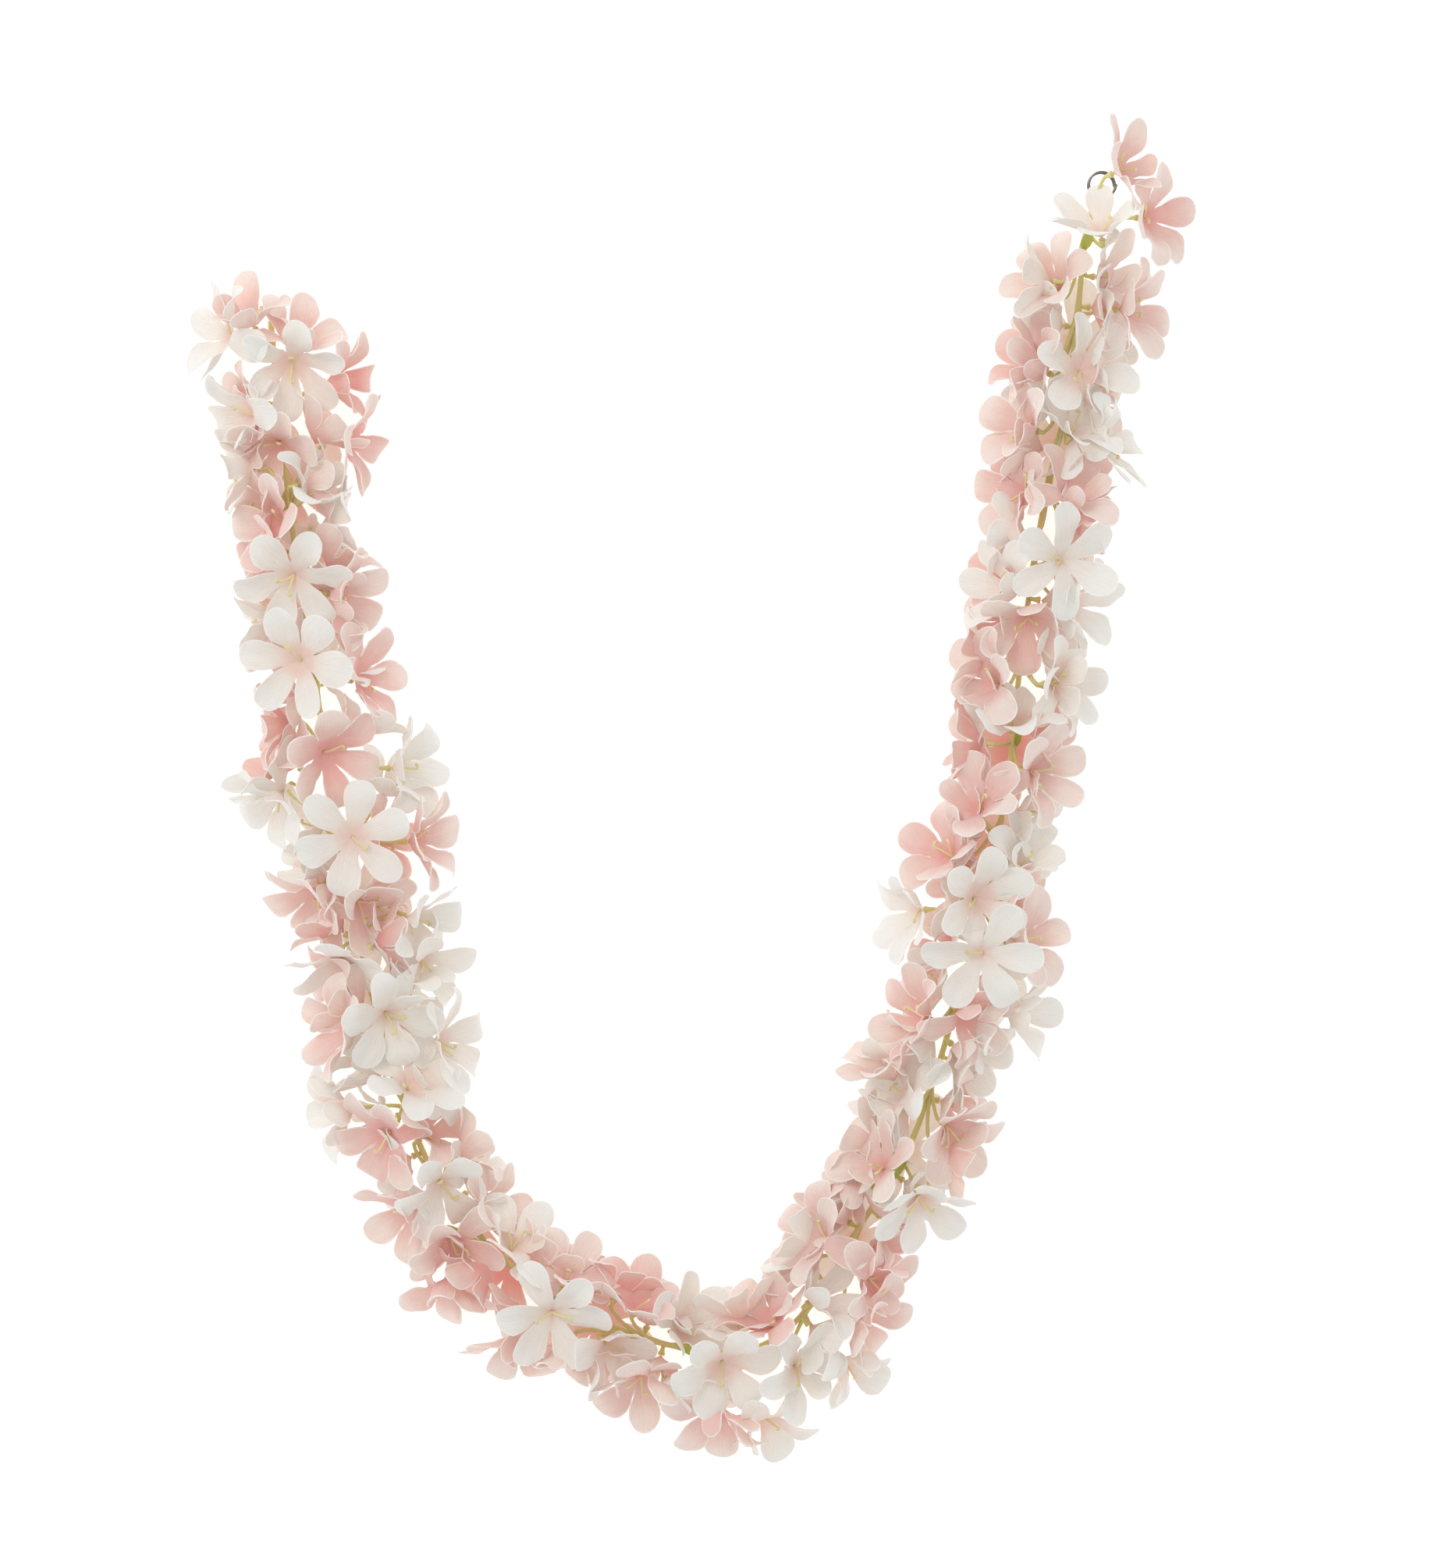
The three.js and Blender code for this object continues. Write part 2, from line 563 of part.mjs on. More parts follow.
// The bends that a lobe may take, in the order they are tried.
function lobeBends(bloom, side, reaches = REACHES) {
  if (bloom.flat) return [{ lean: 0, curl: 0, reach: 1 }];
  const lean = 9 * draw(bloom.index, 10 + side);
  const curl = -8 + 14 * draw(bloom.index, 20 + side);
  return reaches.flatMap((reach) =>
    LEANS.flatMap((more) => CURLS.map((bend) => ({ lean: lean + more, curl: curl + bend, reach }))),
  );
}

function middleOf(row) {
  return row.reduce((sum, p) => sum.add(p), new THREE.Vector3()).multiplyScalar(1 / row.length);
}

// The lobe of a bloom that runs through a lobe of another, or null if none meets it squarely.
function meetingLobe(bloom, other, side, theirs, aim) {
  const rows = lobeRows(other, side, theirs);
  const ends = [middleOf(rows[0]), middleOf(rows[1])];
  const target = ends[0].clone().lerp(ends[1], aim);
  const face = ends[1].clone().sub(ends[0]).cross(rows[1][2].clone().sub(rows[1][0])).normalize();
  const run = target.clone().sub(bloom.hub).normalize();
  return Math.abs(face.dot(run)) < JOIN_SLANT ? null : aimLobe(bloom, target);
}

// Joins a bloom to another where its first lobe runs through one of the other's.
function join(bloom, other) {
  const spin = bloom.spin;
  for (let side = 0; side < LOBES; side++) {
    const bends = other.lobes[side] ? [other.lobes[side]] : lobeBends(other, side, [1]);
    for (const theirs of bends) {
      if (!other.lobes[side] && !lobeClear(other, side, theirs)) continue;
      for (const aim of JOIN_AIMS) {
        const lobe = meetingLobe(bloom, other, side, theirs, aim);
        if (lobe && lobeClear(bloom, 0, lobe, { bloom: other, side })) {
          if (!other.lobes[side]) keepLobe(other, side, theirs);
          keepLobe(bloom, 0, lobe);
          return true;
        }
      }
    }
  }
  bloom.spin = spin;
  return false;
}

flats.flat().forEach((bloom) => keepLobe(bloom, 0, { lean: 0, curl: 0, reach: 1 }));

const loose = placed.filter((bloom) => !bloom.flat);
const pairs = [];
loose.forEach((one, i) =>
  loose.slice(i + 1).forEach((two) => {
    const gap = one.hub.distanceTo(two.hub);
    if (one.tone === two.tone && gap < JOIN_SPAN) pairs.push({ one, two, gap });
  }),
);
pairs.sort((a, b) => a.gap - b.gap);

let groups = [...flats, ...loose.map((bloom) => [bloom])];
function joinPairs(most) {
  for (const { one, two } of pairs) {
    if (groups.length <= BLOOM_NODES) return;
    const [first, second] = [one, two].map((bloom) => groups.find((g) => g.includes(bloom)));
    if (first === second || first.length + second.length > most) continue;
    const free = [[one, two], [two, one]].filter(([bloom]) => bloom.lobes.every((l) => !l));
    if (free.some(([bloom, other]) => join(bloom, other)))
      groups = [...groups.filter((g) => g !== first && g !== second), [...first, ...second]];
  }
}
joinPairs(2);
joinPairs(3);

// Every other lobe takes the first bend that leaves it clear; one with no such bend is left out.
for (const bloom of placed)
  for (let side = 0; side < LOBES; side++) {
    if (bloom.lobes[side]) continue;
    const bend = lobeBends(bloom, side).find((lobe) => lobeClear(bloom, side, lobe));
    if (bend) keepLobe(bloom, side, bend);
  }

// --- Solids ----------------------------------------------------------------------------------
// A bloom as one closed sheet: a six-sided funnel whose sides run on into the lobes.
function bloomSolid(bloom) {
  const points = [
    offset(bloom.hub, bloom.axis, SHEET / 2),
    offset(bloom.hub, bloom.axis, SHEET / 2 - HUB_SHEET),
  ];
  for (let side = 0; side < LOBES; side++) {
    const corner = rimCorner(bloom, side);
    points.push(offset(corner, bloom.axis, SHEET / 2));
    points.push(offset(corner, bloom.axis, SHEET / 2 - HUB_SHEET));
  }
  const faces = [];
  for (let side = 0; side < LOBES; side++) {
    const here = 2 + 2 * side;
    const next = 2 + 2 * ((side + 1) % LOBES);
    faces.push([0, here, next], [1, next + 1, here + 1]);
    let row = [here, here + 1, next, next + 1];
    if (bloom.lobes[side])
      for (const corners of lobeRows(bloom, side, bloom.lobes[side]).slice(1)) {
        const far = corners.map((corner) => points.push(corner) - 1);
        LOBE_ORDER.forEach((from, k) => {
          const to = LOBE_ORDER[(k + 1) % LOBE_ORDER.length];
          faces.push([row[to], row[from], far[from]], [row[to], far[from], far[to]]);
        });
        row = far;
      }
    faces.push([row[2], row[0], row[1]], [row[2], row[1], row[3]]);
  }
  return solidOf(points, faces);
}

function tubeSolid(rings) {
  const sides = rings[0].length;
  const faces = [];
  for (let r = 0; r + 1 < rings.length; r++)
    for (let k = 0; k < sides; k++) {
      const a = r * sides + k;
      const b = r * sides + ((k + 1) % sides);
      faces.push([a, b, b + sides], [a, b + sides, a + sides]);
    }
  const last = (rings.length - 1) * sides;
  for (let k = 1; k + 1 < sides; k++) faces.push([0, k + 1, k], [last, last + k, last + k + 1]);
  return solidOf(rings.flat(), faces);
}


function stemSolid() {
  const points = stemPoints();
  points[0] = offset(eyeletMiddle, toStem, EYELET_RADIUS);
  let solid = tubeSolid(tubeRings(points, points.map(() => STEM_RADIUS), STEM_SIDES));
  solid = solid.add(eyeletSolid());
  for (const leaf of LEAVES) solid = solid.add(tubeSolid(leafRings(leaf)));
  for (const bloom of placed)
    solid = solid.add(tubeSolid(tubeRings(stalkLine(bloom), STALK_RADII, STALK_ORDER.length)));
  return solid;
}

// --- Scene graph -----------------------------------------------------------------------------
function meshOf(name, solid, color, roughness, metalness = 0) {
  const { vertProperties, triVerts, numProp } = solid.getMesh();
  const geometry = new THREE.BufferGeometry();
  const positions = new Float32Array((vertProperties.length / numProp) * 3);
  for (let i = 0; i < positions.length / 3; i++)
    positions.set(vertProperties.subarray(i * numProp, i * numProp + 3), i * 3);
  geometry.setAttribute("position", new THREE.BufferAttribute(positions, 3));
  geometry.setIndex(new THREE.BufferAttribute(triVerts, 1));
  const mesh = new THREE.Mesh(geometry, new THREE.MeshStandardMaterial({ color, roughness, metalness }));
  mesh.name = name;
  return mesh;
}

function nodeName(group) {
  const numbers = group.map((bloom) => String(bloom.index).padStart(3, "0"));
  return group[0].tone + (group.length > 1 ? "_blooms_" : "_bloom_") + numbers.join("_");
}

const garland = new THREE.Group();
garland.add(meshOf("stem_and_stalks", stemSolid(), GREEN, 0.55));
garland.add(meshOf("end_ring", ringSolid(), METAL, 0.3, 1));
for (const group of groups) {
  const solid = group.map(bloomSolid).reduce((one, two) => one.add(two));
  garland.add(meshOf(nodeName(group), solid, group[0].tone === P ? PINK : WHITE, 0.8));
}

const box = new THREE.Box3().setFromObject(garland);
const middle = box.getCenter(new THREE.Vector3());
garland.children.forEach((mesh) => mesh.position.set(-middle.x, -middle.y, -box.min.z));

export default garland;
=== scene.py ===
"""A garland lei of fabric blooms laid out flat in an open U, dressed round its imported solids.

Every bloom is one die-cut sheet with six lobes. Where a bloom has a solid, its place, the way it
faces and the bend of each lobe are read from that solid, and a fine sheet is worked out along the
same lines. More blooms are then set between these by a rule, where bare table would show. Stem,
stalks, calyces, leaves, stamens and the ring at the end are tubes and small sheets round the same
line of points as their solids. Metres, +Z up.
"""

import itertools
import math

import bmesh
import bpy
import numpy as np
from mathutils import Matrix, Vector


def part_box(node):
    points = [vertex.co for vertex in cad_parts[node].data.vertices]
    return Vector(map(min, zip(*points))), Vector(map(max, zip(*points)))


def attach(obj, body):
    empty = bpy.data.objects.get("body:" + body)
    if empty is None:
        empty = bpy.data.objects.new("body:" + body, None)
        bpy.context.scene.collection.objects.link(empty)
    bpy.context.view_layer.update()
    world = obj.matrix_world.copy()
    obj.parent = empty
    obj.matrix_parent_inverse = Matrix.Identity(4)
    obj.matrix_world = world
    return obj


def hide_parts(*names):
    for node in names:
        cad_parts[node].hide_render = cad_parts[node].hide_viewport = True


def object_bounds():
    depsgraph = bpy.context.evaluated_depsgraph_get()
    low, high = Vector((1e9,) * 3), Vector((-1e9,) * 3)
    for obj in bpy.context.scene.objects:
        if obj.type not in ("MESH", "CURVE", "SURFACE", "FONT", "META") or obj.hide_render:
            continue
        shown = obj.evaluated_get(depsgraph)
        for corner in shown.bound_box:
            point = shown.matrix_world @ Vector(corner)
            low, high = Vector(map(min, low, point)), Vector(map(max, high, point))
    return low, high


bl_info = {
    "name": "Bloom garland",
    "version": (1, 0, 0),
    "blender": (4, 5, 0),
    "location": "View3D > Sidebar > Garland",
    "description": "Makes a garland lei of pink and white fabric blooms on a moulded stem",
    "category": "Add Mesh",
}

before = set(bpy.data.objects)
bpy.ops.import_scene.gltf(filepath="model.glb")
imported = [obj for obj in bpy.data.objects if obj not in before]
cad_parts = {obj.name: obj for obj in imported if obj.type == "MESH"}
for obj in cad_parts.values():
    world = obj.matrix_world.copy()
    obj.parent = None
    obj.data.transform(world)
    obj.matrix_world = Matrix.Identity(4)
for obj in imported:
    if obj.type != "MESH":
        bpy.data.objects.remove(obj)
CAD_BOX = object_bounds()
CAD_BOX_LOW, CAD_BOX_HIGH = (np.array(corner) for corner in CAD_BOX)

# --- Sizes shared with the solids -----------------------------------------------------------------
MM = 0.001
BODY = "root"
STEM_NODE = "stem_and_stalks"
RING_NODE = "end_ring"
PIXEL = 0.33 * MM  # the photograph's scale at the stem
FRAME_PIXELS = (1848, 2009)
RING_PIXEL = (1413, 236)

LOBES = 6
SIXTH = math.pi / 3
RIM = 7 * MM  # from a bloom's middle to where its solid's lobes part
LOBE_ROWS = (10.5 * MM, 8.5 * MM)  # lengths of a lobe's two stretches past the rim
LOBE_HALF_WIDTHS = (7 * MM, 3.8 * MM)  # at the end of each stretch
SOLID_SHEET = 0.6 * MM
SOLID_HUB = 1.2 * MM
SEAT_GAP = 0.3 * MM
CALYX_LENGTH = 4 * MM
NEAR = 0.03 * MM  # two lengths that differ by less are one
ALIKE = 0.9996  # the least cosine between two ways that are one
FULL_REACH = 1.02  # the longest lobe, as a share of a full one, with room for rounding
END_THICKNESS = (0.98, 1.02)  # of a lobe's outer end, as a share of its sheet
JOINT_THICKNESS = (0.98, 1.25)  # and between its two stretches, where it is mitred

STEM_HEIGHT = 19 * MM
STEM_WAVE = 1.5 * MM
STEM_WAVE_LENGTH = 60 * MM
RUNS_PER_SPAN = 8
FORK_FIRST = 5 * MM
FORK_STEP = 37 * MM
FORK_SPREAD = 3 * MM
STALK_RUN = 13 * MM
STALK_SEED = 7
STALK_POINTS = 9
STALK_LEAVES = 0.45  # how far a stalk turns along the stem where it leaves it
STALK_ARRIVES = 0.4  # and along the bloom's axis where it ends
STALK_BOW = 0.3  # of its reach, over which each of them holds

# The stem from the ring end to the free end, in the photograph's pixels.
STEM_POINTS = (
    (1400, 268), (1390, 312), (1384, 380), (1370, 500), (1340, 640), (1320, 760), (1305, 880),
    (1297, 970), (1276, 1090), (1243, 1230), (1197, 1384), (1163, 1475), (1110, 1560),
    (1062, 1642), (1000, 1712), (930, 1736), (855, 1724), (770, 1696), (690, 1652), (615, 1586),
    (553, 1500), (512, 1400), (480, 1290), (452, 1170), (432, 1050), (413, 940), (398, 830),
    (381, 730), (368, 630), (360, 540), (350, 460), (345, 404),
)

# Small leaves: root and tip in pixels, and how far the tip rises.
LEAVES = (
    (1160, 1478, 1141, 1518, 9 * MM), (1390, 318, 1402, 286, 8 * MM),
    (590, 1556, 618, 1580, 9 * MM), (398, 826, 410, 862, 8 * MM),
    (1298, 960, 1310, 924, 8 * MM), (905, 1735, 868, 1727, 10 * MM),
)

# --- Sizes of the fine forms ----------------------------------------------------------------------
SLIT_FOOT = 7.4 * MM  # from a bloom's middle to the foot of the slits between its lobes
FUNNEL_ROWS = 3
SIDE_ROWS = 4  # rows of faces from the slits' foot to the lobe's widest place
TIP_ROWS = 4  # and from there to its tip
COLUMNS = 8
WIDEST_AT = 18.6 * MM
WIDEST = 7.5 * MM  # half width
SIDE_SWELL = 1.5  # how late a lobe widens from the slits' foot
LOBE_WIDTHS = (0.9, 1.07)  # how narrow and how wide lobes come out
TIP_AT = 26.8 * MM
FADE = 4 * MM  # how far a funnel's shape runs on into the lobes
THROAT = 3.2 * MM  # radius of the dip over the calyx
THROAT_DIP = 0.7 * MM
HOLLOW_SPREAD = (1.6, 2.6)  # of the beta distribution of the hollows
HOLLOW_WAYS = (1, 1, 1, 1, 1, -0.5)  # most lobes are hollow, and some are bent back
ROLL_RANGE = (0.2, 1.2)  # of the rolled rim
CURL_RANGE = (-1.0, 0.45)  # of the tip curl; most tips curl back
CREASE_RANGE = (-0.4, 1.2)  # of the crease; some lobes are creased the other way
CREASE_HALF_WIDTH = 1.1 * MM
CREASE_FADES = 0.68  # of the way out to the tip, from where the crease fades
RIPPLE_LENGTH = 2.2 * MM
FLAT_BENDS = 0.2  # of the bends, in a bloom that is pressed flat
LEAST_BEND = 0.02  # radians, so that no arc is quite straight


# --- Settings -------------------------------------------------------------------------------------
def length_setting(name, description, default):
    return bpy.props.FloatProperty(
        name=name, description=description, default=default, unit="LENGTH"
    )


def angle_setting(name, description, degrees):
    return bpy.props.FloatProperty(
        name=name, description=description, default=math.radians(degrees), subtype="ANGLE"
    )


def colour_setting(name, description, default):
    return bpy.props.FloatVectorProperty(
        name=name, description=description, default=default, subtype="COLOR", size=3
    )


class BloomSettings(bpy.types.PropertyGroup):
    """How the fabric of the blooms is cut, pressed and coloured."""

    sheet: length_setting("Sheet", "Thickness of the fabric", 0.34 * MM)
    crease: length_setting("Crease", "Depth of the crease up a lobe's middle", 0.5 * MM)
    roll: length_setting("Rolled rim", "How far the rim turns back", 0.6 * MM)
    ripple: length_setting("Ripple", "Height of the waves in a lobe's edge", 0.6 * MM)
    hollow: angle_setting("Hollow", "How far a lobe's edge bends up from its middle", 86)
    tip_curl: angle_setting("Tip curl", "How far a lobe's tip curls over", 75)
    twist: angle_setting("Twist", "The most that a lobe twists", 25)
    pink_throat: colour_setting("Pink throat", "Pink bloom near its middle", (0.815, 0.45, 0.415))
    pink_middle: colour_setting("Pink", "Pink bloom half way out", (0.80, 0.57, 0.52))
    pink_tip: colour_setting("Pink tips", "Pink bloom at its rim", (0.84, 0.72, 0.66))
    white_throat: colour_setting("White throat", "White bloom near its middle", (0.84, 0.64, 0.57))
    white_middle: colour_setting("White", "White bloom half way out", (0.84, 0.79, 0.73))
    white_tip: colour_setting("White tips", "White bloom at its rim", (0.83, 0.83, 0.785))
    stamen_radius: length_setting("Stamen", "Radius of a stamen", 0.5 * MM)
    stamen_colour: colour_setting("Stamens", "Pale yellow of the stamens", (0.86, 0.77, 0.42))


class StemSettings(bpy.types.PropertyGroup):
    """Sizes and colours of the moulded stem, its stalks, leaves and the end ring."""

    radius: length_setting("Stem", "Radius of the stem", 1.35 * MM)
    stalk_radius: length_setting("Stalk", "Radius of a side stalk", 0.8 * MM)
    calyx_radius: length_setting("Calyx", "Radius of a calyx at its top", 1.6 * MM)
    stem_colour: colour_setting("Stem colour", "Yellow green of the stem", (0.84, 0.77, 0.33))
    leaf_colour: colour_setting("Leaf colour", "Lime green of the small leaves", (0.62, 0.70, 0.18))
    ring_radius: length_setting("Ring", "Radius of the end ring", 5.6 * MM)
    ring_wire: length_setting("Ring wire", "Radius of its wire", 0.5 * MM)
    metal_colour: colour_setting("Metal", "Grey of the ring", (0.30, 0.29, 0.27))


class StageSettings(bpy.types.PropertyGroup):
    """Floor, lights and camera."""

    floor_colour: colour_setting("Floor", "Pale floor", (0.82, 0.82, 0.82))
    floor_glow: bpy.props.FloatProperty(
        name="Floor glow", description="Light given off by the lit table", default=0.72
    )
    sky: bpy.props.FloatProperty(
        name="Sky", description="Strength of the even light from all round", default=0.66
    )
    key: bpy.props.FloatProperty(
        name="Key light", description="Power of the large light", default=11.5, unit="POWER"
    )
    lens: bpy.props.FloatProperty(
        name="Lens", description="Focal length in millimetres", default=250.0, unit="CAMERA"
    )


# --- Small helpers --------------------------------------------------------------------------------
def unit(vectors):
    return vectors / np.linalg.norm(vectors, axis=-1, keepdims=True)


def smooth(share):
    """0 to 1 with no slope at either end: 3s^2 - 2s^3."""
    s = np.clip(share, 0, 1)
    return s * s * (3 - 2 * s)


def mix(one, two, share):
    return one + (two - one) * share


def grid_faces(rows, columns, first=0, wrap=False):
    """Quads of a grid of rows x columns points, numbered row by row; wrap closes each row."""
    row, column = np.mgrid[0 : rows - 1, 0 : columns if wrap else columns - 1]
    right = (column + 1) % columns
    quads = np.stack(
        [row * columns + column, row * columns + right, (row + 1) * columns + right,
         (row + 1) * columns + column], axis=-1
    )
    return quads.reshape(-1, 4) + first


def mesh_piece(name, points, faces, material, uv=None, attributes=None):
    """A smooth mesh object at the origin from points and faces, which are arrays or lists.

    uv and attributes hold a value for each point.
    """
    mesh = bpy.data.meshes.new(name)
    faces = faces.tolist() if isinstance(faces, np.ndarray) else faces
    mesh.from_pydata(np.asarray(points).tolist(), [], faces)
    corners = np.empty(len(mesh.loops), np.int32)
    mesh.loops.foreach_get("vertex_index", corners)
    if uv is not None:
        layer = mesh.uv_layers.new(name="pattern")
        layer.data.foreach_set("uv", np.asarray(uv, np.float32)[corners].ravel())
    for key, values in (attributes or {}).items():
        attribute = mesh.attributes.new(key, "FLOAT", "POINT")
        attribute.data.foreach_set("value", np.asarray(values, np.float32))
    mesh.polygons.foreach_set("use_smooth", np.ones(len(mesh.polygons), bool))
    mesh.materials.append(material)
    mesh.update()
    piece = bpy.data.objects.new(name, mesh)
    bpy.context.scene.collection.objects.link(piece)
    return piece


SEAM = 0.02 * MM  # points that are closer are one
SHARP = math.radians(55)  # from this angle between two faces their edge is sharp


def merge_doubles(piece):
    """Closes seams and poles; faces that shrink to a line go with them."""
    work = bmesh.new()
    work.from_mesh(piece.data)
    bmesh.ops.remove_doubles(work, verts=work.verts, dist=SEAM)
    work.to_mesh(piece.data)
    work.free()


def thicken(piece, thickness):
    """Gives a sheet its thickness, half to each side, and keeps its rim sharp."""
    solidify = piece.modifiers.new("sheet", "SOLIDIFY")
    solidify.thickness = thickness
    solidify.offset = 0
    graph = bpy.context.evaluated_depsgraph_get()
    thick = bpy.data.meshes.new_from_object(piece.evaluated_get(graph))
    piece.modifiers.clear()
    piece.data = thick
    thick.set_sharp_from_angle(angle=SHARP)


def belongs(piece, replaced=()):
    """Says what a finished piece rides on, which nodes it stands for."""
    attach(piece, BODY)
    if replaced:
        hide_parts(*replaced)


# --- The stem's line, as the solids have it -------------------------------------------------------
RING_MIDDLE = np.mean([list(corner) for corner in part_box(RING_NODE)], axis=0)


def from_pixels(pixels, height=STEM_HEIGHT):
    """Points over the table for pixels of the photograph, counted from the ring's middle."""
    off = (np.asarray(pixels, float) - RING_PIXEL) * (PIXEL, -PIXEL)
    return np.column_stack([off + RING_MIDDLE[:2], np.full(len(off), height)])


def stem_line():
    """A uniform Catmull-Rom curve through the points, and the distance along it.

    Between points b and c of a, b, c, d it is b + t(c-a)/2 + t^2(a - 5b/2 + 2c - d/2)
    + t^3(3b - a - 3c + d)/2; it rises and dips with the sine of the distance.
    """
    knots = from_pixels(STEM_POINTS)
    ends = np.vstack([2 * knots[0] - knots[1], knots, 2 * knots[-1] - knots[-2]])
    a, b, c, d = (ends[i : len(ends) - 3 + i, None] for i in range(4))
    t = (np.arange(RUNS_PER_SPAN) / RUNS_PER_SPAN)[:, None]
    spans = b + t * (c - a) / 2 + t**2 * (a - 2.5 * b + 2 * c - d / 2)
    spans = spans + t**3 * (3 * b - a - 3 * c + d) / 2
    points = np.vstack([spans.reshape(-1, 3), knots[-1]])
    along = np.concatenate([[0], np.cumsum(np.linalg.norm(np.diff(points, axis=0), axis=1))])
    points[:, 2] = STEM_HEIGHT + STEM_WAVE * np.sin(along / STEM_WAVE_LENGTH)
    return points, along


STEM, STEM_ALONG = stem_line()


def stem_at(distances):
    s = np.clip(distances, 0, STEM_ALONG[-1])
    return np.stack([np.interp(s, STEM_ALONG, STEM[:, axis]) for axis in range(3)], axis=-1)


def nearest_on_stem(points):
    """How far along the stem its line passes nearest to points, seen from above."""
    gaps = np.linalg.norm(points[:, None, :2] - STEM[None, :, :2], axis=2)
    return STEM_ALONG[gaps.argmin(axis=1)]


# --- Reading the blooms from their solids ---------------------------------------------------------
def corners_of(node):
    """A node's corners, each once."""
    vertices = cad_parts[node].data.vertices
    points = np.empty(len(vertices) * 3, np.float32)
    vertices.foreach_get("co", points)
    return np.unique(np.round(points.reshape(-1, 3).astype(float), 6), axis=0)


def read_hubs(points):
    """The blooms of one node: hub, axis, slope of the funnel and way to each side.

    A solid's funnel is SOLID_HUB thick at its hub and at its six rim corners, and nowhere else are
    six pairs of corners that far apart set alike round a seventh.
    """
    gaps = np.linalg.norm(points[:, None] - points[None], axis=2)
    first, second = np.nonzero(np.triu(np.abs(gaps - SOLID_HUB) < NEAR / 4, 1))
    middles = (points[first] + points[second]) / 2
    ways = unit(points[second] - points[first])
    found = []
    for middle, way in zip(middles, ways):
        off = middles - middle
        rise = off @ way
        around = off - rise[:, None] * way
        level = np.linalg.norm(around, axis=1) * math.cos(SIXTH / 2)
        ring = np.abs(np.hypot(level, rise) - RIM) < NEAR
        ring &= (np.abs(ways @ way) > ALIKE) & (level > RIM / 2)
        if ring.sum() != LOBES:
            continue
        height = rise[ring].mean()
        flat = abs(height) < NEAR
        axis = np.array([0, 0, -1.0]) if flat else way * np.sign(height)
        corner = unit(around[ring][0])
        third = np.cross(axis, corner)
        angles = SIXTH * (np.arange(LOBES) + 0.5)[:, None]
        found.append({
            "hub": middle + axis * (SOLID_HUB - SOLID_SHEET) / 2,
            "axis": axis,
            "flat": bool(flat),
            "cup": math.atan2(abs(height), level[ring].mean()),
            "outs": corner * np.cos(angles) + third * np.sin(angles),
        })
    return found


def read_lobe(points, bloom, side):
    """A lobe's line in the plane of its way out and the axis: the ends of its two stretches.

    Each end is the middle between corners that mirror each other across that plane, as far apart
    as the lobe is wide there. An end hidden in another bloom lies on the line of the other end.
    """
    out, axis = bloom["outs"][side], bloom["axis"]
    wide = np.cross(axis, out)
    off = points - bloom["hub"]
    flat = np.stack([off @ out, off @ axis], axis=1)
    across = off @ wide
    right = np.nonzero(across > 1 * MM)[0]
    left = np.nonzero(across < -1 * MM)[0]
    if not len(left) or not len(right):
        return None
    misfit = np.linalg.norm(flat[right, None] - flat[None, left], axis=2)
    misfit += np.abs(across[right, None] + across[None, left])
    right = right[misfit.min(axis=1) < NEAR]
    base = RIM * np.array([math.cos(bloom["cup"]), math.sin(bloom["cup"])])
    ends = {}
    for i in right:
        for j in right[right > i]:
            if abs(across[i] - across[j]) > NEAR:
                continue
            middle = (flat[i] + flat[j]) / 2
            thick = np.linalg.norm(flat[i] - flat[j]) / SOLID_SHEET
            gap = np.linalg.norm(middle - base)
            reach = across[i] / LOBE_HALF_WIDTHS[0]
            mitred = JOINT_THICKNESS[0] < thick < JOINT_THICKNESS[1]
            if reach < FULL_REACH and mitred and abs(gap - LOBE_ROWS[0] * reach) < 2 * NEAR:
                ends[0] = (middle, reach)
            reach = across[i] / LOBE_HALF_WIDTHS[1]
            plain = END_THICKNESS[0] < thick < END_THICKNESS[1]
            span = (LOBE_ROWS[1] * reach, sum(LOBE_ROWS) * reach + NEAR)
            if reach < FULL_REACH and plain and span[0] < gap < span[1]:
                ends[1] = (middle, reach)
    if not ends:
        return None
    reach = next(iter(ends.values()))[1]
    first = ends[0][0] if 0 in ends else mix(base, ends[1][0], LOBE_ROWS[0] / sum(LOBE_ROWS))
    last = ends[1][0] if 1 in ends else mix(base, first, sum(LOBE_ROWS) / LOBE_ROWS[0])
    return np.array([[0, 0], base, first, last]), reach


HIDDEN_REACH = 0.72  # of a lobe that its solid had no room for, and its slopes past the funnel's
HIDDEN_SLOPES = (math.radians(26), math.radians(44))


def hidden_lobe(bloom):
    """A short steep lobe for a side of a funnel whose solid has none."""
    line = [np.zeros(2), RIM * np.array([math.cos(bloom["cup"]), math.sin(bloom["cup"])])]
    for length, slope in zip(LOBE_ROWS, HIDDEN_SLOPES):
        turn = bloom["cup"] + slope
        step = length * HIDDEN_REACH * np.array([math.cos(turn), math.sin(turn)])
        line.append(line[-1] + step)
    return np.array(line), HIDDEN_REACH


